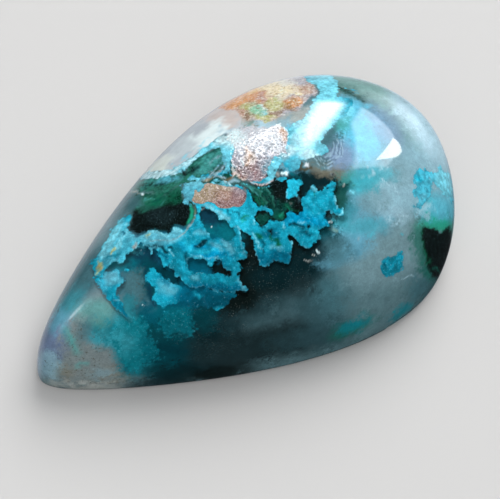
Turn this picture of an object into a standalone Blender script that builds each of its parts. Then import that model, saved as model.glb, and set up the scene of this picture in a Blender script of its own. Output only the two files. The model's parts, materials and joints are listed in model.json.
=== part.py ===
"""Polished teardrop cabochon of chrysocolla in chalcedony, modelled in metres with +Z up.

The stone lies on its flat ground back, which is in the plane Z = 0. Its length runs along X, with the
narrow tip at -X and the round end at +X, and it is symmetric about the plane Y = 0. The origin is the
middle of the back's length and width.

The outline is a smooth pear: a blunt tip that widens steadily to a full round end. The dome over it is a
superellipse across every station of the length, tallest over the round end, and it meets a short rounded
underside at the girdle.
"""

import math

import bpy
import bmesh

# Driving dimensions
LENGTH = 0.030
WIDTH = 0.0183
HEIGHT = 0.0095

# Outline along the length
TIP_FULLNESS = 0.25  # 0 is a needle point, 1 is nearly an ellipse
END_SQUARENESS = 2.0  # power of the fall towards the round end

# Section across the length
GIRDLE_HEIGHT = 0.0011  # where the dome is widest, above the back
CREST_POWER = 0.55  # how fast the crest rises with the outline's width
DOME_POWER = 2.1  # 2 is an ellipse, more is squarer
UNDERSIDE_DEPTH = 0.0021  # depth of the rounded underside before the back is ground flat
UNDERSIDE_POWER = 3.0
UNDERSIDE_TAPER = 0.25  # how the underside thins towards the two ends

# Faceting
MERIDIANS = 64
RINGS = 44
SAMPLES_FOR_WIDEST = 400

NAME = "cabochon"
COLLECTION = "chrysocolla_specimen"
STONE_COLOUR = (0.055, 0.24, 0.27, 1.0)
STONE_ROUGHNESS = 0.08


def clear_scene():
    """Remove every object of the open scene."""
    for thing in list(bpy.data.objects):
        bpy.data.objects.remove(thing, do_unlink=True)


def raw_outline(u):
    """Unscaled half-width at fraction u of the length, from the tip (0) to the round end (1)."""
    tip_side = math.sqrt(u * (u + TIP_FULLNESS))
    round_side = math.sqrt(max(0.0, 1.0 - u**END_SQUARENESS))
    return tip_side * round_side


def widest_outline():
    """Largest value that the raw outline reaches."""
    return max(raw_outline(i / SAMPLES_FOR_WIDEST) for i in range(SAMPLES_FOR_WIDEST + 1))


def power_of(value, exponent):
    """Signed power, which keeps the side that a section point is on."""
    return math.copysign(abs(value) ** exponent, value)


def stone_point(direction, widest):
    """Place a point of a unit sphere, whose poles are on Z, on the stone's surface."""
    along = direction.z
    ring = math.hypot(direction.x, direction.y)
    x = LENGTH / 2 * along
    if ring < 1e-6:
        return x, 0.0, GIRDLE_HEIGHT
    across = direction.x / ring
    rise = direction.y / ring
    fullness = min(1.0, raw_outline((1 + along) / 2) / widest)
    if rise >= 0:
        y = WIDTH / 2 * fullness * power_of(across, 2 / DOME_POWER)
        crest = (HEIGHT - GIRDLE_HEIGHT) * fullness**CREST_POWER
        return x, y, GIRDLE_HEIGHT + crest * power_of(rise, 2 / DOME_POWER)
    y = WIDTH / 2 * fullness * power_of(across, 2 / UNDERSIDE_POWER)
    depth = UNDERSIDE_DEPTH * fullness**UNDERSIDE_TAPER
    return x, y, GIRDLE_HEIGHT + depth * power_of(rise, 2 / UNDERSIDE_POWER)


def shape_dome(mesh):
    """Turn a unit sphere into the stone as it is before its back is ground."""
    widest = widest_outline()
    for vertex in mesh.vertices:
        vertex.co = stone_point(vertex.co.copy(), widest)
    mesh.update()


def grind_back_flat(mesh):
    """Cut the stone along Z = 0 and close the cut with one flat face."""
    stone = bmesh.new()
    stone.from_mesh(mesh)
    geometry = stone.verts[:] + stone.edges[:] + stone.faces[:]
    cut = bmesh.ops.bisect_plane(
        stone, geom=geometry, dist=1e-7, plane_co=(0, 0, 0), plane_no=(0, 0, 1), clear_inner=True
    )
    rim = [item for item in cut["geom_cut"] if isinstance(item, bmesh.types.BMEdge)]
    bmesh.ops.contextual_create(stone, geom=rim)
    bmesh.ops.recalc_face_normals(stone, faces=stone.faces)
    stone.to_mesh(mesh)
    stone.free()


def stone_material():
    """Glossy blue-green stone."""
    material = bpy.data.materials.new("polished_chrysocolla")
    material.use_nodes = True
    shader = material.node_tree.nodes["Principled BSDF"]
    shader.inputs["Base Color"].default_value = STONE_COLOUR
    shader.inputs["Roughness"].default_value = STONE_ROUGHNESS
    shader.inputs["Metallic"].default_value = 0.0
    return material


def build_cabochon(collection):
    """Make the one piece that the specimen is."""
    bpy.ops.mesh.primitive_uv_sphere_add(segments=MERIDIANS, ring_count=RINGS, radius=1.0)
    stone = bpy.context.active_object
    stone.name = NAME
    stone.data.name = NAME
    shape_dome(stone.data)
    grind_back_flat(stone.data)
    stone.data.shade_smooth()
    stone.data.set_sharp_from_angle(angle=math.radians(30))
    stone.data.materials.append(stone_material())
    for home in list(stone.users_collection):
        home.objects.unlink(stone)
    collection.objects.link(stone)


def main():
    clear_scene()
    collection = bpy.data.collections.new(COLLECTION)
    bpy.context.scene.collection.children.link(collection)
    build_cabochon(collection)


main()
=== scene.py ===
"""Looks of the polished chrysocolla cabochon: the stone, the minerals in it, and a small studio."""

import json
import math

import bpy
import numpy as np
from mathutils import Matrix, Vector, noise

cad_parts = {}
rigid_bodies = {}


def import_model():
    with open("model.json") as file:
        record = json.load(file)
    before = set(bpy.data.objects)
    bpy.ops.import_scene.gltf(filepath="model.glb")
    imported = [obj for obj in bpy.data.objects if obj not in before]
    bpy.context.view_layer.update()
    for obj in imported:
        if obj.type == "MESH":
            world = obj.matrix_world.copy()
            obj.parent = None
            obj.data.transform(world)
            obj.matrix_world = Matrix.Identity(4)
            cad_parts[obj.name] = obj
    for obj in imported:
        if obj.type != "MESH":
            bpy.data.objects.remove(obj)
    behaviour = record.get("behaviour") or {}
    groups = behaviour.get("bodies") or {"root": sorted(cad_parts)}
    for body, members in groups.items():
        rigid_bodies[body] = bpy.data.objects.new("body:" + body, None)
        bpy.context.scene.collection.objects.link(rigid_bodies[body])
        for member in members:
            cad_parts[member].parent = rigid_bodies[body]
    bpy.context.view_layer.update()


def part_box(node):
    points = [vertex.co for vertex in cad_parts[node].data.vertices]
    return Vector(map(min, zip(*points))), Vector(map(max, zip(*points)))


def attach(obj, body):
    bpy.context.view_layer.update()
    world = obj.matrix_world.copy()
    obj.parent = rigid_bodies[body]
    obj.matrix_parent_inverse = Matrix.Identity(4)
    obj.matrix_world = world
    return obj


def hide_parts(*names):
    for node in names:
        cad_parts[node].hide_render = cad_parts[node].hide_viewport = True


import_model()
LOW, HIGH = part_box("cabochon")

MM = 0.001

# ---------------------------------------------------------------- the stone's form

LENGTH = HIGH[0] - LOW[0]
WIDTH = HIGH[1] - LOW[1]
HEIGHT = HIGH[2] - LOW[2]
TIP_FULLNESS = 0.25  # 0 is a needle point, 1 is nearly an ellipse
END_SQUARENESS = 2.0  # power of the fall towards the round end
GIRDLE_HEIGHT = 1.1 * MM  # where the dome is widest, above the back
CREST_POWER = 0.55  # how fast the crest rises with the outline's width
DOME_POWER = 2.1  # 2 is an ellipse, more is squarer
UNDERSIDE_DEPTH = 2.1 * MM  # before the back is ground flat
UNDERSIDE_POWER = 3.0
UNDERSIDE_TAPER = 0.25  # how the underside thins towards the two ends
OUTLINE_SAMPLES = 2001

MERIDIANS = 96
RINGS = 142
DOME_SHARE = 0.83  # share of the meridians that lie on the dome, above the girdle
INSET = 0.02 * MM  # the fine surface stays this far inside the box of the solid
FINE_FACING = -0.2  # how little a point may face the camera and still get the fine mesh
SMOOTH_ANGLE = math.radians(40)  # the edge of the ground back stays sharp
CUT_TOLERANCE = 1e-7

PIT_DEPTH = 0.032 * MM
PIT_SIZE = 0.16 * MM
SMALL_PIT_SHARE = 0.5  # strength of the small pits among the others
SMALL_PIT_SCALE = 2.3  # how many times smaller they are
PIT_NOISE = (0.05, 0.55)  # noise at which a pit begins, and at which it is deepest


def raw_outline(u):
    """Unscaled half-width at fraction u of the length, from the tip to the round end."""
    return np.sqrt(u * (u + TIP_FULLNESS)) * np.sqrt(np.clip(1 - u**END_SQUARENESS, 0, None))


WIDEST = raw_outline(np.linspace(0, 1, OUTLINE_SAMPLES)).max()


def stone_surface(unit):
    """Points of the stone for points of a unit sphere whose poles become the tip and the round end."""
    along = np.clip(unit[:, 2], -1, 1)
    turn = np.mod(np.arctan2(unit[:, 1], unit[:, 0]) / math.pi, 2)
    dome_span = DOME_SHARE * 2
    on_dome = turn <= dome_span
    section = math.pi * np.where(on_dome, turn / dome_span, 1 + (turn - dome_span) / (2 - dome_span))
    fullness = np.clip(raw_outline((1 + along) / 2) / WIDEST, 0, 1)
    across, rise = np.cos(section), np.sin(section)
    power = np.where(on_dome, 2 / DOME_POWER, 2 / UNDERSIDE_POWER)
    height = np.where(
        on_dome,
        (HEIGHT - INSET - GIRDLE_HEIGHT) * fullness**CREST_POWER,
        UNDERSIDE_DEPTH * fullness**UNDERSIDE_TAPER,
    )
    x = (LENGTH / 2 - INSET) * along
    y = (WIDTH / 2 - INSET) * fullness * np.sign(across) * np.abs(across) ** power
    z = GIRDLE_HEIGHT + height * np.sign(rise) * np.abs(rise) ** power
    return np.stack([x, y, z], axis=1)


# ---------------------------------------------------------------- the view and the drawing sheet

SHEET_WIDTH, SHEET_HEIGHT = 500, 499
AZIMUTH, ELEVATION, ROLL = -51.3, 52.84, 14.78
AIM = Vector((-0.0044 * LENGTH, -0.0262 * LENGTH, 0.1 * LENGTH))
DISTANCE = 3.0 * LENGTH
SENSOR = 36.0
NEAREST, FARTHEST = 0.001, 10.0
SQUARES_PER_LENGTH = 488.0  # drawing-sheet squares to one stone length, at the aim point


def view_axes():
    """The camera's place, and its right, up and forward directions."""
    turn, lift, roll = (math.radians(angle) for angle in (AZIMUTH, ELEVATION, ROLL))
    back = Vector((math.sin(turn) * math.cos(lift), -math.cos(turn) * math.cos(lift), math.sin(lift)))
    level = (-back).cross(Vector((0, 0, 1))).normalized()
    upright = level.cross(-back)
    right = math.cos(roll) * level + math.sin(roll) * upright
    up = -math.sin(roll) * level + math.cos(roll) * upright
    return AIM + back * DISTANCE, right, up, -back


EYE, RIGHT, UP, FORWARD = view_axes()


def on_sheet(points):
    """Where points of the stone fall on the drawing sheet: columns to the right and rows down, in squares."""
    rays = points - np.array(EYE)
    depth = rays @ np.array(FORWARD)
    scale = SQUARES_PER_LENGTH / LENGTH * DISTANCE / depth
    column = SHEET_WIDTH / 2 + scale * (rays @ np.array(RIGHT))
    row = SHEET_HEIGHT / 2 - scale * (rays @ np.array(UP))
    return np.stack([column, row], axis=1)


def make_camera():
    data = bpy.data.cameras.new("camera")
    data.sensor_width = SENSOR
    data.lens = SQUARES_PER_LENGTH / SHEET_WIDTH * SENSOR * DISTANCE / LENGTH
    data.clip_start = NEAREST
    data.clip_end = FARTHEST
    camera = bpy.data.objects.new("camera", data)
    bpy.context.collection.objects.link(camera)
    axes = Matrix((RIGHT, UP, -FORWARD)).transposed()
    camera.matrix_world = Matrix.Translation(EYE) @ axes.to_4x4()
    bpy.context.scene.camera = camera


# ---------------------------------------------------------------- mineral outlines, on the drawing sheet

# Turquoise growth
WEST_CRUST = [
    (132, 214), (126, 215), (120, 218), (115, 225), (110, 230), (108, 238), (103, 243), (99, 250),
    (96, 257), (91, 260), (90, 266), (94, 273), (97, 279), (104, 275), (108, 268), (112, 264), (116, 262),
    (118, 263), (121, 263), (126, 259), (128, 254), (134, 250), (139, 246), (142, 241), (140, 237),
    (135, 236), (131, 232), (129, 229), (131, 222),
]
WEDGE = [
    (93, 278), (100, 277), (106, 272), (113, 269), (119, 270), (123, 275), (124, 280), (120, 285),
    (117, 290), (118, 295), (121, 300), (123, 306), (126, 312), (131, 318), (126, 318), (118, 311),
    (111, 304), (104, 295), (99, 288),
]
LEDGE = [
    (141, 241), (144, 247), (148, 247), (149, 251), (151, 255), (153, 253), (154, 249), (157, 251),
    (159, 257), (161, 264), (164, 267), (167, 265), (169, 268), (173, 270), (174, 275), (176, 278),
    (179, 277), (181, 280), (185, 284), (189, 287), (194, 289), (199, 289), (203, 287), (208, 289),
    (214, 291), (220, 292), (228, 293), (234, 292), (240, 291), (245, 293), (247, 289), (246, 286),
    (242, 284), (240, 281), (239, 276), (238, 273), (241, 271), (242, 267), (240, 263), (236, 261),
    (240, 261), (246, 258), (247, 254), (245, 249), (244, 243), (242, 237), (240, 231), (245, 232),
    (250, 236), (253, 241), (255, 248), (256, 255), (258, 262), (262, 266), (267, 267), (271, 263),
    (274, 260), (281, 263), (287, 264), (291, 259), (292, 252), (293, 244), (291, 240), (288, 236),
    (291, 235), (294, 238), (298, 242), (301, 246), (306, 249), (310, 248), (314, 243), (320, 240),
    (321, 236), (318, 231), (324, 228), (329, 226), (329, 222), (328, 218), (325, 216), (326, 213),
    (329, 212), (334, 215), (340, 217), (345, 216), (345, 210), (343, 208), (338, 207), (337, 200),
    (336, 194), (333, 192), (336, 189), (337, 184), (335, 181), (331, 182), (326, 186), (322, 189),
    (318, 190), (316, 186), (312, 185), (308, 190), (304, 196), (301, 200), (302, 205), (303, 209),
    (300, 212), (297, 214), (294, 212), (292, 210), (286, 212), (286, 217), (280, 221), (272, 220),
    (267, 222), (262, 226), (256, 218), (258, 213), (258, 208), (254, 204), (252, 196), (250, 190),
    (246, 188), (238, 185), (230, 184), (222, 183), (214, 182), (206, 182), (202, 180), (196, 182),
    (188, 184), (181, 186), (182, 195), (185, 199), (191, 203), (195, 206), (198, 212), (198, 218),
    (195, 224), (190, 229), (184, 231), (180, 226), (176, 226), (172, 230), (170, 233), (160, 232),
    (152, 230), (146, 232), (140, 236),
]
FINGER = [
    (287, 180), (293, 179), (301, 180), (302, 184), (299, 189), (297, 196), (292, 199), (286, 198),
    (284, 194), (286, 188),
]
TOP_GROWTH = [
    (305, 74), (318, 70), (328, 72), (337, 80), (339, 90), (337, 95), (345, 97), (353, 100), (350, 109),
    (345, 117), (336, 122), (330, 131), (322, 139), (319, 142), (326, 146), (329, 151), (323, 156),
    (315, 155), (312, 159), (307, 161), (301, 161), (300, 167), (296, 172), (290, 172), (285, 168),
    (283, 162), (287, 156), (285, 150), (289, 144), (287, 136), (288, 128), (294, 122), (302, 118),
    (309, 110), (313, 100), (319, 92), (315, 86), (305, 80),
]
TUFT = [
    (414, 173), (418, 168), (423, 170), (427, 173), (431, 176), (433, 184), (433, 190), (430, 197),
    (426, 203), (420, 209), (413, 209), (412, 206), (416, 203), (418, 198), (413, 195), (412, 190),
    (416, 186), (413, 181),
]
EDGE_TUFT = [
    (424, 168), (430, 171), (436, 172), (440, 164), (443, 170), (449, 172), (453, 178), (456, 190),
    (455, 200), (451, 205), (449, 198), (444, 196), (440, 190), (434, 184), (428, 178), (423, 174),
]
SMALL_SPOT = [
    (380, 267), (382, 260), (386, 256), (391, 256), (394, 255), (397, 251), (402, 251), (405, 257),
    (404, 263), (404, 268), (399, 272), (393, 276), (386, 277), (382, 274),
]
MASSES = (WEST_CRUST, WEDGE, LEDGE, FINGER)
GROWTHS = (*MASSES, TOP_GROWTH, TUFT, EDGE_TUFT, SMALL_SPOT)

# Bands and threads of growth, each point with its radius
BAND = [
    (199, 209, 2), (198, 217, 3), (194, 224, 3), (188, 230, 3), (181, 235, 3), (172, 238, 3), (160, 237, 4),
    (150, 236, 4), (140, 239, 4),
]
CREAM_SEAM = [
    (141, 177, 3), (150, 175.5, 4), (160, 174.5, 4), (170, 172.5, 4), (180, 169, 5), (188, 163, 3.5),
    (196, 156, 2.3), (205, 151, 3), (213, 145, 4), (222, 142, 7), (228, 149, 7), (227, 159, 6),
    (228, 167, 3),
]
SKEWED_LINES = [
    [(190, 179, 2.5), (194, 177, 2.5), (199, 180, 1.5), (206, 175, 1.5), (212, 174, 1)],
    [(181, 184, 1.5), (190, 184, 2), (198, 183, 3), (203, 180, 2)],
    [(210, 181, 1.5), (216, 181, 2), (224, 182, 1.5), (229, 184, 1)],
    [(222, 175, 0.8), (228, 167, 0.8), (232, 164, 0.8)],
    [(219, 176, 0.9), (226, 181, 1), (231, 186, 1)],
    [(270, 178, 4), (273, 170, 5), (276, 162, 5), (284, 157, 5)],
    [(252, 183, 1.5), (261, 182, 2.5), (267, 180, 3), (272, 178, 3)],
    [(205, 178, 1), (212, 175, 2.5), (220, 173, 2.5), (228, 170, 2)],
    [(184, 194, 2), (186, 201, 2.5), (190, 206, 1.5)],
    [(277, 179, 2), (284, 178, 2.5)],
    [(258, 209, 2), (265, 208, 3), (270, 211, 3), (272, 215, 2)],
    [(126, 269, 1.5), (129, 270, 1.5)],
    [(346, 89, 0.8), (352, 90, 1), (359, 93, 0.8)],
    [(208, 258, 2.5), (210, 262, 3), (211, 266, 1.5)],
    [(204, 178, 0.5), (209, 172, 0.7), (216, 169, 0.7), (222, 163, 0.5)],
    [(214, 180, 0.5), (218, 174, 0.7), (226, 172, 0.7), (233, 176, 0.5)],
    [(200, 182, 0.5), (212, 184, 0.8), (220, 179, 0.7), (222, 173, 0.5)],
    [(240, 182, 0.5), (250, 186, 0.7), (262, 188, 0.6), (272, 184, 0.5)],
]
THREADS = (BAND, CREAM_SEAM, *SKEWED_LINES)

# Holes in the growth
POCKET = [
    (201, 208), (207, 209), (213, 212), (218, 218), (224, 221), (229, 225), (233, 230), (233, 236),
    (226, 239), (220, 237), (213, 237), (208, 233), (206, 228), (203, 224), (200, 217),
]
RECESS = [
    (190, 258), (197, 260), (205, 260), (208, 264), (211, 268), (214, 262), (219, 260), (222, 263),
    (225, 269), (232, 272), (226, 275), (218, 272), (212, 274), (205, 272), (197, 272), (190, 270),
    (188, 264),
]
LENS = [(255, 217), (260, 214), (266, 214), (271, 217), (272, 219), (266, 222), (262, 226), (257, 222)]
HOLES = (POCKET, RECESS, LENS)

# Softer lobes of it, deeper in the stone
LOWER_LOBE = [
    (149, 266), (153, 267), (158, 271), (162, 276), (168, 280), (174, 283), (180, 286), (186, 288),
    (192, 290), (198, 288), (203, 291), (204, 298), (203, 305), (199, 308), (194, 306), (190, 302),
    (185, 302), (180, 301), (176, 305), (172, 305), (169, 303), (167, 307), (163, 308), (160, 306),
    (156, 303), (153, 299), (153, 295), (155, 291), (156, 288), (152, 285), (150, 282), (147, 281),
    (146, 277), (148, 272),
]
LOWER_SHELF = [
    (203, 288), (212, 290), (222, 291), (232, 291), (236, 291), (235, 297), (231, 299), (229, 303),
    (224, 308), (216, 310), (208, 307), (205, 300),
]
LAGOON_LOBE = [
    (108, 334), (113, 342), (118, 350), (121, 360), (128, 369), (136, 372), (143, 365), (152, 362),
    (161, 357), (158, 346), (151, 336), (148, 325), (140, 316), (131, 320), (124, 326), (114, 328),
]
TEAL_LOBE = [
    (157, 322), (163, 314), (174, 311), (186, 312), (193, 319), (196, 330), (190, 338), (180, 335),
    (170, 337), (161, 332),
]
LOBES = (LOWER_LOBE, LOWER_SHELF)
DEEP_LOBES = (LAGOON_LOBE, TEAL_LOBE)
DEEP_LOBE_FIRMNESS = 0.35  # how sharp the edge of a deep lobe is beside the others' edges

# Malachite
BLACK_PATCH = [
    (132, 214), (136, 208), (141, 206), (150, 207), (158, 206), (163, 201), (167, 196), (169, 190),
    (173, 190), (176, 187), (180, 186), (182, 190), (182, 196), (185, 200), (189, 203), (191, 208),
    (191, 214), (189, 219), (187, 224), (183, 228), (180, 226), (176, 226), (172, 229), (171, 233),
    (166, 232), (159, 231), (155, 229), (149, 230), (146, 232), (141, 234), (136, 236), (133, 232),
    (129, 230), (131, 224),
]
VALLEY = [
    (184, 172), (189, 164), (196, 158), (203, 154), (210, 150), (218, 147), (224, 151), (230, 158),
    (232, 166), (229, 172), (221, 173), (212, 175), (203, 178), (195, 181), (188, 183), (180, 186),
    (172, 190), (165, 193), (158, 194), (148, 193), (138, 192), (136, 184), (142, 179), (150, 177),
    (160, 175), (172, 174),
]
STREAKED_GREEN = [
    (241, 182), (248, 183), (256, 186), (264, 184), (272, 182), (280, 180), (288, 178), (300, 174),
    (302, 190), (303, 200), (308, 206), (305, 214), (298, 212), (290, 209), (284, 212), (285, 219),
    (277, 221), (272, 216), (268, 208), (260, 208), (256, 203), (253, 196), (250, 189), (244, 186),
]
EDGE_SPOT = [
    (423, 227), (427, 227), (431, 229), (436, 229), (440, 232), (444, 230), (449, 226), (451, 230),
    (452, 240), (451, 252), (449, 262), (444, 268), (441, 277), (434, 279), (430, 272), (426, 263),
    (423, 252), (421, 242), (421, 233),
]
DARK_LINE = [(336, 87, 1), (343, 89.5, 1.8), (351, 93, 1.8), (358, 97, 1.4), (364, 102, 0.5)]
MALACHITES = (BLACK_PATCH, VALLEY, STREAKED_GREEN, EDGE_SPOT, LENS)

# Copper-brown patches, ochre and the cream border
COPPER_OVAL = [
    (192, 200), (195, 196), (194, 191), (196, 190), (199, 193), (203, 188), (204, 183), (210, 183),
    (220, 185), (228, 186), (236, 187), (242, 189), (246, 194), (246, 197), (243, 203), (240, 206),
    (232, 208), (224, 209), (216, 206), (209, 201), (203, 203), (198, 204), (194, 203),
]
PITTED_BROWN = [
    (228, 133), (238, 128), (250, 126), (262, 127), (275, 126), (284, 128), (288, 134), (288, 142),
    (286, 148), (290, 152), (286, 157), (278, 158), (272, 163), (268, 170), (267, 176), (262, 181),
    (256, 184), (250, 181), (243, 180), (238, 176), (234, 170), (233, 163), (231, 156), (229, 150),
    (224, 143),
]
OCHRE = [
    (218, 107), (226, 98), (240, 88), (255, 80), (270, 76), (285, 73), (300, 70), (310, 72), (313, 84),
    (318, 90), (316, 95), (309, 98), (303, 106), (296, 111), (285, 115), (275, 120), (265, 122), (255, 121),
    (246, 120), (240, 116), (236, 110), (228, 110),
]
CREAM = [
    (141, 175), (150, 172), (160, 171), (170, 170), (178, 167), (184, 162), (190, 158), (197, 153),
    (205, 148), (212, 142), (220, 136), (230, 132), (237, 129), (241, 123), (240, 116), (236, 112),
    (224, 104), (225, 92), (200, 100), (170, 120), (145, 145), (128, 170),
]

# Where the chalcedony sparkles, where it is dusty, and where the mesh is finest for the sharpest marks
SPARKLING = [
    [
        (232, 242), (262, 250), (300, 246), (330, 236), (336, 262), (300, 292), (262, 306), (236, 318),
        (226, 300),
    ],
    [(186, 308), (232, 306), (250, 330), (220, 356), (180, 350), (170, 326)],
]
DUSTY = [
    [(46, 358), (70, 330), (92, 316), (108, 330), (112, 358), (96, 382), (66, 384), (48, 374)],
    [(130, 268), (146, 274), (148, 298), (134, 304), (126, 288)],
    [(110, 368), (130, 364), (146, 374), (140, 384), (112, 384)],
]
FINE_AREA = [
    (84, 250), (100, 228), (124, 204), (136, 168), (180, 158), (212, 128), (224, 100), (255, 76), (300, 62),
    (336, 70), (370, 92), (366, 106), (340, 126), (350, 160), (352, 216), (336, 240), (330, 262),
    (300, 284), (262, 300), (232, 330), (190, 342), (140, 360), (112, 356), (100, 300), (84, 282),
]
TUFT_AREA = [(378, 172), (412, 160), (440, 160), (462, 190), (462, 262), (440, 280), (418, 262), (390, 236)]
SPOT_AREA = [(376, 250), (400, 248), (422, 266), (420, 288), (384, 282), (374, 266)]

# ---------------------------------------------------------------- tones, clouds and strokes

# Tones of the minerals, in screen steps
TONES = {
    "verdigris": (40, 108, 92), "glacier": (92, 176, 202), "mauve": (160, 166, 178),
    "bronze": (142, 124, 104), "heather": (118, 120, 132), "pearl": (206, 216, 222),
    "chalk": (212, 226, 226), "ivory": (222, 228, 210), "blush": (188, 176, 170), "silver": (166, 174, 180),
    "ice": (158, 190, 203), "frost": (124, 160, 172), "sky": (90, 148, 168), "veil": (102, 132, 139),
    "mist": (114, 126, 127), "ash": (150, 156, 152), "lilac": (98, 114, 140), "wisteria": (118, 140, 168),
    "sage": (104, 142, 138), "smoke": (82, 112, 118), "slate": (60, 98, 106), "storm": (42, 70, 76),
    "dusk": (25, 42, 45), "ink": (9, 19, 18), "night": (8, 32, 36), "abyss": (3, 48, 57),
    "navy": (12, 52, 68), "deep teal": (3, 64, 72), "teal": (6, 94, 106), "lagoon": (14, 116, 128),
    "sea": (66, 148, 145), "aqua": (58, 154, 168), "moss": (20, 92, 80), "bottle": (8, 64, 56),
    "jade": (26, 142, 112), "emerald": (8, 94, 68), "dust": (112, 108, 92), "umber": (66, 62, 46),
    "foam": (214, 240, 243), "pale": (120, 208, 226), "wash": (86, 170, 190), "bright": (34, 178, 206),
    "turquoise": (20, 150, 176), "azure": (2, 144, 186), "mid": (16, 128, 150), "deep": (3, 98, 124),
    "depth": (3, 74, 92), "gloom": (5, 50, 62), "olive tan": (160, 144, 116), "tan": (184, 148, 118),
    "rose": (178, 140, 128), "plum": (124, 88, 92), "maroon": (80, 46, 54), "petal": (220, 204, 202),
    "amber": (216, 144, 56), "honey": (236, 186, 88), "straw": (236, 222, 180), "coral": (202, 136, 76),
    "ochre": (186, 138, 70), "lichen": (172, 178, 106), "mint": (124, 196, 168), "bark": (118, 90, 54),
}

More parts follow.
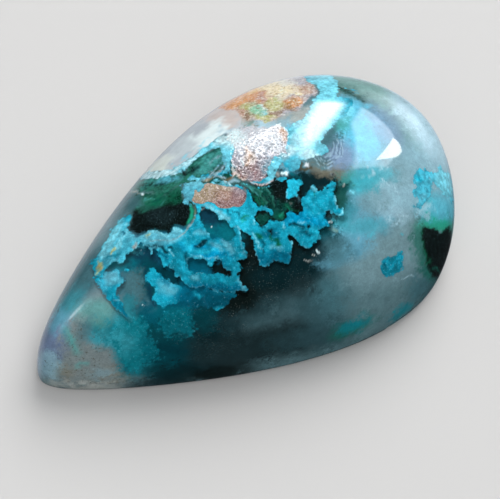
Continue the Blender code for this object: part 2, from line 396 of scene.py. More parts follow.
# Soft clouds, laid one over another: tone, column, row and two radii, then how they differ from the habit
CLOUD_HABIT = (1, 0, 0.9)  # strength, turn in degrees and softness of a cloud that names none
GROUND_CLOUDS = [
    ("deep", 176, 268, 70, 46, 1, -10, 0.6), ("ink", 282, 218, 58, 48, 1, -12, 0.6),
    ("night", 258, 268, 40, 40, 1, 0, 0.6), ("bottle", 218, 176, 32, 14, 1, -14, 0.7),
    ("glacier", 292, 146, 13, 28, 1, 8, 0.7), ("ice", 262, 124, 34, 10, 1, -8, 0.7),
    ("dust", 284, 161, 5, 5, 0.7), ("mist", 88, 345, 62, 52, 1, 0, 0.8),
    # the lilac cloud here and the sky cloud at column 59 are partly a painted blue reflection around the
    # tip's highlight
    ("lilac", 46, 342, 18, 32, 1, 20, 0.8), ("slate", 84, 278, 18, 58, 1, 38, 0.8),
    ("veil", 122, 212, 14, 44, 1, 38, 0.8), ("smoke", 125, 202, 10, 22, 0.9, 38, 0.8),
    ("aqua", 70, 306, 9, 20, 0.5, 32), ("sky", 59, 322, 9, 13, 0.8, 25),
    ("lagoon", 106, 333, 20, 14, 0.9, 10), ("aqua", 102, 340, 16, 6, 0.6, 12),
    ("sea", 98, 312, 20, 13, 0.6), ("slate", 84, 330, 8, 14, 0.6, 20), ("frost", 50, 365, 12, 14, 0.8, -30),
    ("dust", 66, 372, 10, 6, 0.6), ("dust", 112, 374, 26, 7, 0.7), ("frost", 101, 373, 14, 5, 0.6),
    # the thin ash cloud at row 387 is painted pale light along the girdle's lower edge
    ("umber", 135, 373, 10, 4, 0.6), ("ash", 82, 387, 40, 4, 0.9, 2, 0.8),
    ("slate", 136, 288, 18, 26, 1, 0, 0.8), ("lagoon", 128, 304, 10, 10, 0.6), ("teal", 122, 264, 16, 8),
    ("navy", 142, 258, 22, 10, 1, 14, 0.8), ("aqua", 137, 249, 8, 5, 0.8),
    ("deep teal", 150, 280, 8, 22, 1, -10), ("lagoon", 128, 342, 17, 34, 1, -10, 0.7),
    ("lagoon", 150, 318, 12, 10, 0.8), ("teal", 216, 226, 26, 20, 1, 30, 0.8),
    ("navy", 208, 216, 14, 9, 1, 30), ("depth", 200, 264, 16, 8, 1, 0, 0.8),
    ("night", 221, 266, 11, 8, 1, 0, 0.8), ("depth", 206, 243, 14, 6, 1, -30, 0.8),
    ("teal", 147, 332, 22, 24, 1, 0, 0.7), ("deep teal", 178, 344, 46, 34, 1, 0, 0.7),
    ("depth", 182, 312, 40, 14, 1, 0, 0.8), ("teal", 176, 316, 22, 9, 0.9, 0, 0.8),
    ("teal", 148, 366, 28, 12, 0.8, 0, 0.8), ("abyss", 176, 356, 34, 18, 0.7, 0, 0.8),
    ("dusk", 214, 352, 28, 26, 0.9, -8, 0.8), ("deep teal", 165, 373, 22, 8, 0.8, 5, 0.8),
    ("abyss", 168, 276, 18, 9, 1, 30, 0.7), ("night", 218, 322, 30, 22, 1, -10, 0.8),
    ("ink", 252, 286, 40, 34, 1, -15, 0.7), ("ink", 262, 258, 50, 22, 1, -20, 0.6),
    ("night", 292, 270, 44, 16, 1, -12, 0.7), ("storm", 282, 310, 56, 18, 0.6, -10),
    ("dusk", 252, 346, 42, 18, 1, -12), ("dusk", 295, 338, 44, 18, 1, -12),
    ("storm", 330, 330, 30, 18, 0.9, -20), ("slate", 338, 292, 36, 24, 1, -25),
    ("smoke", 384, 294, 38, 26, 1, -30), ("veil", 380, 262, 40, 24, 1, -20),
    ("sky", 348, 242, 26, 18, 1, -20), ("veil", 404, 240, 30, 28, 1, -30), ("sky", 368, 210, 28, 24, 0.8),
    ("frost", 400, 184, 34, 30), ("veil", 404, 172, 16, 12, 0.6), ("ice", 393, 213, 16, 7, 0.35, 10),
    ("slate", 428, 284, 24, 16, 1, -50), ("ink", 238, 299, 20, 14), ("deep teal", 206, 318, 12, 14, 0.7),
    ("storm", 292, 341, 26, 9, 0.5, -12), ("night", 188, 372, 38, 9, 0.9),
    ("night", 162, 383, 34, 7, 0.9, -5), ("ink", 222, 374, 36, 9, 0.9, -8),
    ("night", 298, 280, 28, 9, 0.8, -15), ("storm", 308, 308, 16, 12, 0.7),
    ("sky", 332, 259, 14, 9, 0.8, -20), ("dusk", 303, 288, 14, 11, 0.8, -20),
    ("lagoon", 133, 343, 11, 26, 0.9, -8, 0.8), ("deep teal", 300, 176, 9, 5, 0.9),
    ("moss", 352, 327, 24, 7, 0.8, -25, 0.8), ("lagoon", 354, 325, 18, 5, 0.9, -20),
    ("lagoon", 402, 312, 13, 5, 0.9, -40, 0.8), ("aqua", 360, 184, 20, 11, 0.9, -10),
    ("aqua", 362, 226, 26, 8, 0.6, -5), ("aqua", 372, 173, 24, 8, 0.7, 5), ("lagoon", 350, 208, 8, 9, 0.6),
    ("veil", 374, 202, 17, 12, 0.6), ("aqua", 341, 219, 7, 8, 0.8), ("aqua", 438, 210, 20, 18, 1, 0, 0.8),
    ("wash", 444, 204, 14, 16, 0.9), ("ice", 424, 209, 7, 7, 0.6), ("jade", 436, 226, 18, 8, 0.8),
    ("moss", 420, 246, 7, 24, 0.8, -8), ("moss", 430, 270, 8, 12, 0.8, -25),
    ("frost", 428, 150, 26, 46, 1, -35), ("sage", 360, 86, 40, 12, 1, 12, 0.8),
    # the ice cloud at column 420 is a painted pale sheen along the upper right rim
    ("sage", 394, 116, 9, 36, 1, -40), ("ice", 420, 126, 13, 46, 0.8, -36, 1),
    ("glacier", 362, 138, 26, 26), ("wisteria", 386, 126, 14, 24, 0.6, -40),
    ("slate", 329, 140, 11, 24, 1, 15), ("wisteria", 342, 156, 14, 15, 0.9),
    ("sea", 343, 122, 8, 14, 0.8, 20), ("slate", 328, 138, 8, 14, 0.4, 10),
    ("bottle", 340, 194, 9, 22, 0.9, 8, 0.8), ("night", 318, 180, 36, 9, 1, 4, 0.8),
    ("night", 304, 190, 8, 14, 1, 0, 0.8), ("dust", 330, 172, 20, 5, 0.7, 8),
    ("sea", 348, 179, 11, 6, 0.6, 8), ("deep teal", 326, 232, 12, 18, 0.9, -30, 0.8),
    ("slate", 336, 250, 16, 14, 0.8, -20), ("night", 316, 252, 12, 12, 0.8, -20, 0.8),
    ("ash", 292, 117, 22, 8, 1, -10), ("silver", 236, 126, 14, 8, 0.9, -15),
    ("blush", 232, 110, 12, 7, 1, -20), ("bottle", 350, 92, 16, 4.5, 0.6, 25),
    ("glacier", 351, 107, 14, 10, 0.9, 25), ("pale", 346, 112, 8, 9, 0.6),
    ("bark", 248, 119, 9, 4, 0.6, -10), ("frost", 284, 122, 8, 5, 0.8), ("sage", 249, 123, 9, 5, 0.9, -10),
    ("dust", 256, 121, 6, 3, 0.7), ("blush", 243, 114, 9, 9, 0.8), ("bottle", 150, 186, 26, 7, 1, -4, 0.8),
    ("bottle", 162, 213, 34, 17, 0.9, -8, 0.7), ("sage", 134, 186, 8, 8, 0.7),
    ("emerald", 152, 199, 22, 8, 0.8, -12, 0.8), ("slate", 134, 202, 8, 10, 0.8, 20),
    ("emerald", 190, 213, 5, 12, 0.9, 0, 0.7), ("aqua", 124, 320, 10, 7, 0.5),
]
GROWTH_CLOUDS = [
    ("bright", 120, 240, 32, 24, 1, -30, 0.8), ("wash", 116, 242, 22, 20, 0.6, -30),
    ("wash", 107, 259, 9, 9, 0.9), ("pale", 112, 236, 7, 20, 0.7, 30),
    ("turquoise", 106, 288, 18, 28, 1, -30, 0.8), ("wash", 113, 277, 9, 7, 0.8),
    ("wash", 158, 236, 36, 6, 1, 0, 0.8), ("wash", 190, 191, 15, 14, 1, 0, 0.8),
    ("pale", 215, 182, 30, 5, 0.7, 0, 0.8), ("bright", 232, 217, 34, 14, 1, 20, 0.8),
    ("wash", 152, 246, 14, 9, 0.7), ("turquoise", 196, 240, 16, 10, 1, 0, 0.8),
    ("azure", 204, 251, 24, 7, 1, 8, 0.8), ("mid", 204, 251, 9, 4, 0.8), ("mid", 232, 240, 10, 10, 0.6),
    ("turquoise", 165, 260, 10, 12, 0.8, 0, 0.8), ("mid", 183, 268, 14, 18, 1, 0, 0.8),
    ("mid", 204, 280, 20, 8, 1, 0, 0.8), ("mid", 216, 279, 15, 6, 0.8, 10), ("deep", 225, 266, 10, 7, 0.7),
    ("deep", 222, 289, 28, 5, 1, 0, 0.8), ("mid", 236, 270, 7, 10, 0.8, 0, 0.8),
    ("turquoise", 264, 236, 18, 18, 1, 0, 0.8), ("deep", 266, 258, 12, 9, 0.8),
    ("deep", 283, 257, 12, 8, 0.8), ("mid", 277, 243, 13, 7, 0.7), ("deep", 270, 234, 9, 7, 0.8),
    ("mid", 243, 249, 7, 8, 0.8), ("azure", 308, 218, 24, 9, 1, 0, 0.8),
    ("turquoise", 322, 200, 22, 18, 1, 0, 0.8), ("mid", 324, 212, 14, 8, 0.2),
    ("turquoise", 306, 236, 17, 11, 0.6, 20, 0.8), ("bright", 292, 188, 9, 13, 1, 0, 0.8),
    ("bright", 434, 188, 24, 24, 1, 0, 0.8), ("pale", 444, 182, 10, 18, 0.9, -20),
    ("wash", 424, 190, 12, 22, 0.6), ("lagoon", 136, 344, 30, 34, 1, 0, 0.6),
    ("aqua", 120, 342, 16, 14, 0.5), ("teal", 156, 346, 16, 26, 1, 0, 0.8),
    ("teal", 178, 326, 34, 20, 1, 0, 0.6), ("lagoon", 134, 328, 9, 10, 0.7),
    ("mid", 391, 265, 14, 12, 1, 0, 0.8), ("turquoise", 162, 290, 24, 20, 1, 0, 0.8),
    ("wash", 166, 287, 9, 8, 0.6), ("deep", 192, 296, 18, 12), ("deep", 222, 292, 20, 8, 0.9),
    ("mid", 224, 291, 12, 4, 0.6), ("depth", 204, 301, 20, 8), ("depth", 224, 302, 18, 6, 1, 0, 0.8),
    ("pale", 326, 86, 20, 16, 1, 0, 0.8), ("pale", 314, 124, 30, 36, 1, 20, 0.8),
    ("bright", 290, 158, 7, 8, 0.4), ("foam", 285, 151, 9, 9, 0.6), ("wash", 296, 167, 8, 7, 0.7),
    ("foam", 311, 156, 9, 6, 0.6), ("foam", 304, 128, 9, 22, 0.35, 20), ("pale", 274, 170, 8, 14, 0.8, 20),
    ("pale", 180, 168, 50, 9, 1, -28, 0.8), ("foam", 156, 174, 20, 5, 0.7, -10),
    ("foam", 184, 164, 18, 4, 0.5, -36), ("pale", 212, 148, 16, 10, 0.9, -35),
    # the foam cloud at column 229 is partly a painted highlight where the left pane is mirrored
    ("foam", 229, 139, 13, 9, 0.9), ("pale", 226, 156, 9, 14, 0.7),
]
MINERAL_CLOUDS = [
    ("verdigris", 180, 170, 56, 20, 1, -24, 0.8), ("sea", 213, 160, 16, 9, 0.6, -35),
    ("sea", 152, 182, 18, 5, 0.6, -10), ("wash", 168, 180, 12, 4, 0.8, -10),
    ("sea", 201, 171, 9, 4, 0.8, -10), ("slate", 226, 170, 7, 6, 0.9),
    ("bottle", 258, 197, 18, 18, 1, 30, 0.8), ("emerald", 256, 196, 10, 8, 0.5, 30),
    ("sea", 250, 188, 10, 2.5, 0.6, 40), ("bottle", 260, 196, 8, 7, 0.6),
    ("bottle", 280, 215, 11, 8, 1, 20, 0.8), ("emerald", 283, 217, 5, 4, 0.7),
    ("ink", 282, 194, 12, 14, 1, 0, 0.8), ("ink", 298, 205, 10, 10, 1, 0, 0.8),
    ("ink", 276, 184, 10, 5, 0.9), ("ink", 162, 214, 38, 20, 1, -8, 0.6), ("dusk", 160, 216, 14, 8, 0.6),
    ("dusk", 441, 252, 8, 12, 0.5), ("deep teal", 298, 177, 10, 6, 0.9),
    ("verdigris", 147, 201, 20, 8, 0.8, -14), ("sea", 139, 200, 9, 6, 0.9), ("frost", 142, 195, 10, 4, 0.6),
    ("emerald", 172, 197, 16, 7, 0.5, -10), ("bottle", 262, 220, 10, 7, 1, 0, 0.8),
    ("ink", 442, 250, 20, 34, 1, 0, 0.6), ("bottle", 348, 97, 20, 8, 1, 20, 0.8),
    ("bottle", 282, 206, 9, 7, 0.8),
]
COPPER_CLOUDS = [
    ("bronze", 214, 195, 40, 16, 1, 0, 0.8), ("bark", 216, 195, 14, 6, 0.3),
    ("olive tan", 200, 193, 12, 8, 0.7), ("olive tan", 222, 187, 16, 4, 0.8),
    ("rose", 226, 196, 10, 6, 0.5), ("plum", 240, 197, 10, 12, 0.9), ("plum", 226, 205, 18, 5, 0.8),
    ("mauve", 256, 156, 40, 36, 1, 0, 0.6), ("heather", 254, 172, 22, 18, 0.9),
    # the pearl and foam clouds on the brown patch's upper part are partly a painted highlight where the left
    # pane is mirrored
    ("pearl", 256, 138, 26, 16, 0.6, -10), ("foam", 233, 137, 11, 10, 0.9),
    ("pearl", 280, 144, 10, 12, 0.7), ("bronze", 250, 160, 6, 11, 0.7, -10), ("bark", 238, 174, 9, 7, 0.5),
    ("plum", 258, 172, 12, 10, 0.6), ("wash", 267, 166, 7, 7, 0.5), ("tan", 285, 134, 4, 8, 0.8),
    ("tan", 236, 178, 8, 4, 0.8), ("mauve", 298, 102, 26, 22, 1, 0, 0.7),
    ("coral", 226, 106, 14, 7, 1, -30, 0.8), ("amber", 240, 97, 16, 8, 1, -30, 0.8),
    ("honey", 256, 88, 18, 6, 0.9, -18, 0.8), ("straw", 276, 86, 16, 7, 0.9, -8, 0.8),
    ("pearl", 290, 81, 12, 6, 0.5, -6), ("tan", 304, 90, 9, 7, 0.8), ("straw", 284, 92, 14, 6, 0.8, -10),
    ("coral", 256, 97, 12, 5, 0.9, -10), ("rose", 262, 98, 5, 4, 0.9), ("amber", 243, 97, 7, 4, 0.9, -20),
    ("amber", 299, 101, 5, 4, 0.9), ("ochre", 288, 104, 10, 5), ("lichen", 275, 104, 9, 6, 0.9),
    ("lichen", 248, 108, 7, 5, 0.9, 20), ("mint", 259, 111, 9, 6, 0.9, 20),
    ("lichen", 265, 118, 11, 3, 0.9), ("bark", 248, 116, 4, 6, 1, 10), ("bark", 276, 113, 8, 3, 0.7, -10),
    ("rose", 236, 113, 9, 5, 0.4), ("bark", 290, 106, 12, 4, 0.5, -10), ("sage", 300, 116, 14, 6, 0.8, -10),
    ("mauve", 304, 78, 10, 7, 0.7),
]
PALE_CLOUDS = [
    ("silver", 190, 140, 70, 40, 1, -40, 0.8), ("ivory", 156, 166, 18, 7, 0.5, -30),
    ("chalk", 180, 150, 22, 8, 0.3, -40), ("blush", 222, 116, 18, 12, 0.9, -20),
    ("ice", 228, 132, 14, 5, 0.7, -10), ("chalk", 210, 133, 18, 8, 0.9, -36),
    ("pale", 170, 172, 34, 4, 0.8, -14), ("pale", 202, 152, 22, 5, 0.8, -38),
]

# Brush strokes: tone, softness in squares, then column, row and radius along the stroke
# Many of the growth's strokes are painted light and shade: paler ridges, rims and glints, and darker slots
# and crevices, laid over its own tones.
GROWTH_STROKES = [
    ("pale", 2, [(101, 258, 0.7), (104, 251, 1), (107, 246, 0.6)]),
    ("pale", 2, [(109, 243, 2), (112, 237, 2.5), (117, 229, 2)]),
    ("pale", 2, [(119, 247, 1.2), (121, 239, 1.5), (127, 232, 1.5)]),
    ("mid", 2, [(107, 259, 1.5), (114, 257, 1.5), (122, 252, 1)]),
    ("pale", 1, [(126, 225, 0.6), (128, 223, 0.6)]),
    ("ash", 1.5, [(134, 247, 1.6), (137, 244, 1.4)]),
    ("lichen", 1.5, [(110, 254, 0.8), (113, 250, 1.2), (116, 247, 0.8)]),
    ("lichen", 2.5, [(98, 263, 0.8), (101, 265, 1.2), (99, 270, 1.2), (98, 273, 0.8)]),
    ("ochre", 2, [(99, 266, 0.2), (101, 268, 0.4)]),
    ("deep", 1, [(123, 232, 0.9), (125, 233, 0.7)]),
    ("wash", 4, [(110, 277, 4), (116, 278, 4)]),
    ("pale", 0.8, [(100, 291, 0.3), (103, 296, 0.4), (106, 303, 0.3)]),
    ("deep", 3, [(112, 297, 1.5), (120, 308, 2), (127, 316, 1.5)]),
    ("wash", 1.5, [(115, 299, 0.8), (117, 300, 0.8)]),
    ("pale", 0.7, [(119, 301, 0.5), (119.5, 301.5, 0.4)]),
    ("lichen", 1.5, [(147, 236, 1), (149, 235, 1.2)]),
    ("pale", 2, [(144, 235, 1.2), (152, 231, 1.5), (160, 233, 1.5), (168, 235, 1.5)]),
    ("pale", 2, [(176, 229, 3), (178, 230, 3)]),
    ("pale", 1.5, [(176, 229, 0.7), (178, 229, 0.7)]),
    ("pale", 0.8, [(193, 206, 0.6), (194, 214, 0.6), (194, 220, 0.6)]),
    ("bright", 1.5, [(198, 208, 1), (199, 216, 1.2), (198, 223, 1.2)]),
    ("gloom", 1.5, [(146, 245, 0.8), (152, 246, 1), (157, 245, 1), (163, 247, 1.5), (167, 252, 1.5)]),
    ("gloom", 1.2, [(154, 252, 1), (156, 248, 1)]),
    ("gloom", 1.2, [(171, 247, 1.8), (174, 250, 2), (176, 252, 1.2)]),
    ("pale", 0.8, [(169, 250, 0.5), (172, 254, 0.7), (174, 256, 0.5)]),
    ("deep", 2, [(160, 252, 2), (164, 256, 2), (167, 257, 1.5)]),
    ("bright", 1.5, [(157, 250, 1), (159, 256, 1.5), (162, 261, 1.5), (165, 265, 1.5)]),
    ("mid", 2, [(175, 246, 2), (177, 252, 3), (180, 259, 2.5)]),
    ("turquoise", 3, [(181, 262, 4), (184, 270, 4), (186, 278, 3)]),
    ("bright", 1, [(175, 274, 1), (178, 277, 1), (182, 281, 1)]),
    ("depth", 1.5, [(188, 248, 0.6), (186, 254, 1), (187, 262, 1)]),
    ("bright", 3, [(186, 244, 2), (190, 250, 2.5), (197, 252, 2), (205, 251, 1.5), (221, 250, 1.5)]),
    ("gloom", 1.2, [(193, 246, 0.8), (198, 246, 1.6), (203, 243, 2.4), (206, 240, 1.8)]),
    ("mid", 2, [(207, 244, 1.5), (210, 249, 1.2)]),
    ("wash", 3, [(196, 233, 1.5), (202, 232, 2), (208, 234, 1)]),
    ("wash", 3, [(211, 243, 1), (217, 246, 1.5), (222, 250, 1.5)]),
    ("wash", 3, [(223, 240, 2), (229, 246, 3), (232, 252, 2.5)]),
    ("mid", 1, [(229, 240, 0.7), (232, 246, 0.7), (236, 254, 0.7)]),
    ("deep", 2, [(208, 238.5, 0.8), (215, 238.5, 1.2), (224, 239, 1.2), (232, 237, 1)]),
    ("wash", 0.8, [(191, 255, 0.4), (197, 257, 0.6), (205, 258, 0.6), (212, 258, 0.5), (219, 257, 0.5)]),
    ("pale", 0.8, [(199, 257, 0.6), (201, 258, 0.6)]),
    ("pale", 0.6, [(216, 258, 0.5), (217, 258, 0.4)]),
    ("wash", 1.2, [(240, 233, 0.8), (242, 243, 0.4), (243, 253, 0.3)]),
    ("turquoise", 2.5, [(229, 263, 1), (234, 266, 1.5), (239, 268, 2), (237, 273, 1.5)]),
    ("deep", 1.5, [(236, 257, 1), (230, 257, 1), (226, 254, 1)]),
    ("turquoise", 3, [(213, 276, 1), (219, 279, 1.5), (224, 281, 1)]),
    ("wash", 2.5, [(193, 277, 2), (197, 279, 2)]),
    ("pale", 0.8, [(197, 272, 0.4), (200, 271, 0.4), (202, 273, 0.3)]),
    ("deep", 2.5, [(200, 285, 2), (212, 287, 2.5), (226, 289, 2.5), (237, 288, 2)]),
    ("wash", 1.5, [(238, 279, 1), (242, 285, 1.2), (245, 290, 1)]),
    ("depth", 0.8, [(227, 212, 0.6), (230, 214, 0.7), (232, 213, 0.5)]),
    ("depth", 0.8, [(234, 211, 0.5), (236, 213, 0.7), (239, 216, 0.6)]),
    ("jade", 1.5, [(242, 219, 1), (245, 216, 1.5), (248, 216, 1.2)]),
    ("jade", 1.2, [(243, 222, 0.8), (246, 220, 0.9)]),
    ("pale", 0.6, [(252, 221, 0.3), (255, 223, 0.3)]),
    ("pale", 2, [(206, 204, 1.5), (214, 211, 2), (221, 215, 2), (228, 219, 2)]),
    ("bright", 2, [(236, 224, 2.5), (240, 231, 2)]),
    ("pale", 1.2, [(236, 229, 0.8), (239, 231, 1), (241, 233, 0.8)]),
    ("pale", 0.8, [(253, 234, 0.5), (257, 240, 0.7), (259, 248, 0.7)]),
    ("pale", 0.6, [(255, 250, 0.5), (256, 257, 0.5), (259, 262, 0.6)]),
    ("depth", 1.5, [(260, 238, 1), (263, 244, 1.2), (264, 251, 1.4)]),
    ("deep", 3, [(259, 255, 2), (264, 260, 2.5), (268, 262, 2)]),
    ("deep", 3, [(274, 255, 2), (282, 256, 3), (288, 257, 2)]),
    ("wash", 2.5, [(273, 247, 1.5), (277, 249, 1.8), (281, 248, 1.2)]),
    ("emerald", 2, [(276, 240, 2), (278, 245, 2.5)]),
    ("emerald", 2, [(258, 235, 1.8), (262, 238, 1.8)]),
    ("ink", 1.2, [(268, 228, 0.9), (271, 230, 1.8), (272, 234, 1.3)]),
    ("emerald", 2, [(270, 236, 1.5), (272, 240, 1)]),
    ("pale", 1, [(289, 240, 0.6), (292, 243, 0.7), (293, 248, 0.5)]),
    ("pale", 0.6, [(284, 223, 0.3), (286, 227, 0.3)]),
    ("pale", 0.6, [(298, 223, 0.3), (302, 222, 0.4), (306, 223.5, 0.3)]),
    ("gloom", 1.2, [(290, 224, 0.8), (296, 225, 1.6), (303, 227, 1.4)]),
    ("ink", 0.8, [(308, 227, 1.6), (310, 227, 1.3)]),
    ("depth", 2, [(301, 231, 1.2), (306, 234, 2.2), (311, 236, 1.8)]),
    ("bright", 1.2, [(314, 229, 0.8), (318, 235, 0.8), (317, 240, 0.8)]),
    ("pale", 1, [(304, 247, 0.3), (307, 248.5, 0.6)]),
    ("ink", 0.8, [(289, 236, 1.3), (292, 238, 1.6)]),
    ("pale", 1.5, [(311, 187, 1.3), (315, 189, 1.3)]),
    ("emerald", 0.8, [(314, 192, 0.7), (315, 196, 0.7)]),
    ("ink", 0.7, [(328, 188, 0.8), (330, 188, 0.6)]),
    ("bright", 1.5, [(322, 190, 1.3), (327, 185, 1.3), (333, 183, 1.8)]),
    ("pale", 1, [(335, 194, 0.8), (336, 201, 0.9), (338, 207, 0.8)]),
    ("bright", 2, [(310, 196, 0.8), (308, 204, 0.8)]),
    ("mid", 1.2, [(314, 198, 0.8), (313, 206, 0.8)]),
    ("mid", 1.2, [(329, 196, 0.8), (331, 204, 0.8)]),
    ("pale", 1, [(338, 216, 0.8), (344, 212, 0.9), (343, 208, 0.7)]),
    ("bright", 2.5, [(296, 184, 2.5), (290, 195, 2.5)]),
    ("pale", 1, [(285, 193, 0.7), (287, 197, 0.7)]),
    ("wash", 3, [(165, 287, 2), (172, 290, 2)]),
    ("turquoise", 2, [(150, 269, 1.2), (148, 276, 1.2), (153, 281, 1.6), (157, 286, 1.6)]),
    ("bright", 1.5, [(156, 292, 1.2), (155, 298, 1.2), (159, 303, 1.2)]),
    ("deep", 3, [(160, 277, 1.5), (168, 283, 1.5)]),
    ("deep", 3, [(184, 296, 2), (186, 300, 1.6)]),
    ("turquoise", 2, [(196, 293, 2), (200, 297, 1.5)]),
    ("bright", 1.2, [(417, 176, 1.5), (421, 180, 1.5)]),
    ("wash", 2, [(424, 196, 2), (418, 204, 1.5)]),
    ("deep", 1, [(384, 263, 0.7), (390, 267, 0.9), (396, 263, 0.7)]),
    ("turquoise", 1.2, [(386, 260, 1), (391, 270, 1.4), (399, 257, 1.2), (400, 264, 1)]),
]
GROUND_STROKES = [
    ("bottle", 2, [(140, 197, 0.5), (148, 194, 1), (156, 196, 0.6)]),
    ("bottle", 1.5, [(149, 203, 0.4), (158, 200, 1), (166, 197, 0.4)]),
    ("sea", 1.2, [(144, 200, 0.2), (151, 198, 0.6), (155, 199, 0.2)]),
    ("sea", 1.2, [(160, 204, 0.2), (166, 200, 0.5)]),
    ("navy", 3, [(138, 249, 2), (147, 252, 2.5), (156, 256, 2.5), (160, 261, 2)]),
    ("teal", 3, [(110, 264, 2), (117, 266, 3)]),
    ("teal", 4, [(128, 258, 1.5), (136, 263, 2.5)]),
    ("navy", 2.5, [(146, 270, 1), (149, 284, 2), (150, 296, 2), (156, 306, 1.5)]),
    ("abyss", 3, [(163, 268, 1.5), (170, 276, 2.5), (178, 283, 2)]),
    ("teal", 4, [(129, 358, 3), (127, 366, 3), (126, 371, 1.5)]),
    ("abyss", 3, [(160, 345, 2), (172, 350, 3), (186, 352, 2)]),
    ("teal", 3, [(184, 312, 2), (186, 320, 3), (184, 330, 3)]),
    ("foam", 0.6, [(144, 305, 0.3), (144.3, 305.5, 0.2)]),
    ("foam", 0.6, [(141, 252, 0.2), (141.5, 252.5, 0.1)]),
    ("sea", 7, [(66, 330, 1), (71, 342, 2), (78, 352, 1)]),
    ("sea", 5, [(77, 367, 0), (82, 364, 0.8), (87, 363, 0)]),
    ("foam", 1.2, [(142.5, 194, 1.1), (144, 194.5, 1.2)]),
    ("ash", 0.8, [(128, 191, 0.4), (136, 192, 0.6), (142, 193, 0.8)]),
    ("teal", 1.5, [(291, 174, 1.5), (295, 177, 1.8)]),
    ("foam", 0.8, [(283, 173.5, 1.2), (286, 174.5, 1.6)]),
    ("ash", 2, [(275, 174, 1.6), (278, 175, 1.6)]),
    ("umber", 1, [(301, 162, 1.2), (301, 168, 1.4), (306, 170, 1.3), (311, 167, 1)]),
    ("pearl", 1, [(306, 165, 1.3), (309, 166, 1)]),
    ("aqua", 1.5, [(352, 178, 1.2), (358, 182, 1.8), (366, 178, 1.5)]),
    ("pale", 1.2, [(349, 192, 0.8), (352, 194, 1), (355, 192, 0.8)]),
    ("sage", 1.5, [(332, 228, 1.2), (337, 231, 1.5)]),
    ("ice", 0.5, [(358, 181, 0.25), (378, 171, 0.3), (396, 163, 0.25)]),
    ("ice", 0.5, [(367, 165, 0.25), (382, 178, 0.3), (399, 193, 0.25)]),
    ("aqua", 1, [(401, 233, 0.9), (402, 235, 0.8)]),
]
MINERAL_STROKES = [
    ("bottle", 2.5, [(192, 168, 1.5), (194, 162, 1.5), (202, 155, 1.5), (213, 150, 1.5), (222, 149, 1)]),
    ("night", 2.5, [(184, 174, 1), (190, 171, 2), (196, 169, 1.5)]),
    ("bottle", 2, [(142, 186, 1), (154, 185, 1.2), (166, 184, 1.2)]),
    ("sea", 4, [(207, 162, 3), (216, 160, 3)]),
    ("slate", 2.5, [(224, 170, 2), (229, 173, 1.5)]),
    ("frost", 2, [(210, 163, 0.2), (215, 159, 0.8), (220, 156, 0.3)]),
    ("sea", 1.2, [(246, 183, 0.6), (254, 188, 0.8), (262, 192, 0.6)]),
    ("emerald", 1.5, [(252, 192, 1), (258, 200, 1.5), (264, 205, 1)]),
    ("sea", 1, [(262, 187, 0.5), (268, 191, 0.6), (272, 197, 0.5)]),
    ("jade", 1.5, [(280, 216, 1), (284, 213, 1.2)]),
    ("night", 1, [(247, 186, 0.4), (255, 195, 0.8), (262, 205, 0.6)]),
    ("night", 1, [(256, 187, 0.4), (264, 196, 0.8), (270, 207, 0.6)]),
    ("night", 1, [(268, 189, 0.4), (274, 199, 0.8), (279, 208, 0.6)]),
    ("verdigris", 0.8, [(253, 186, 0.3), (261, 194, 0.5), (267, 203, 0.3)]),
    ("verdigris", 0.8, [(264, 187, 0.3), (271, 196, 0.5), (276, 206, 0.3)]),
    ("emerald", 1.2, [(284, 204, 0.6), (290, 208, 1), (298, 211, 0.6)]),
    ("slate", 1.5, [(296, 196, 0.8), (300, 202, 0.8)]),
    ("emerald", 3, [(422, 228, 1), (420, 240, 1.5), (423, 252, 1.5), (428, 263, 1.5)]),
    ("moss", 2, [(440, 272, 1), (434, 268, 1)]),
]
COPPER_STROKES = [
    ("ivory", 1, [(276, 98, 0.6), (280, 94, 1), (284, 90, 0.6)]),
    ("straw", 1.5, [(296, 95, 1.2), (301, 94, 1.2)]),
    ("foam", 0.8, [(304, 101, 0.5), (305, 104, 0.5)]),
    ("pale", 1.2, [(264, 112, 0.8), (266, 113, 1)]),
    ("maroon", 1.2, [(243, 189, 0.6), (246, 194, 0.9), (244, 200, 0.8), (240, 204, 0.6)]),
    ("maroon", 1, [(246, 168, 0.8), (248, 169, 0.8)]),
    ("straw", 1.2, [(268, 98, 0.6), (273, 102, 0.8)]),
    ("foam", 1.2, [(262, 106, 0.6), (267, 109, 0.8)]),
    ("coral", 1.5, [(284, 100, 1), (292, 104, 1.2), (300, 106, 0.8)]),
    ("bark", 1.5, [(286, 108, 0.6), (296, 110, 0.8)]),
    ("foam", 1, [(298, 95, 0.6), (300, 97, 0.5)]),
    ("tan", 2, [(246, 148, 0.8), (250, 156, 1.2), (247, 164, 0.8)]),
    ("plum", 1, [(236, 166, 0.5), (240, 172, 0.8), (246, 178, 0.6)]),
    ("plum", 1, [(252, 166, 0.5), (256, 172, 0.8), (254, 180, 0.6)]),
    ("foam", 0.8, [(240, 158, 0.4), (244, 164, 0.5)]),
]
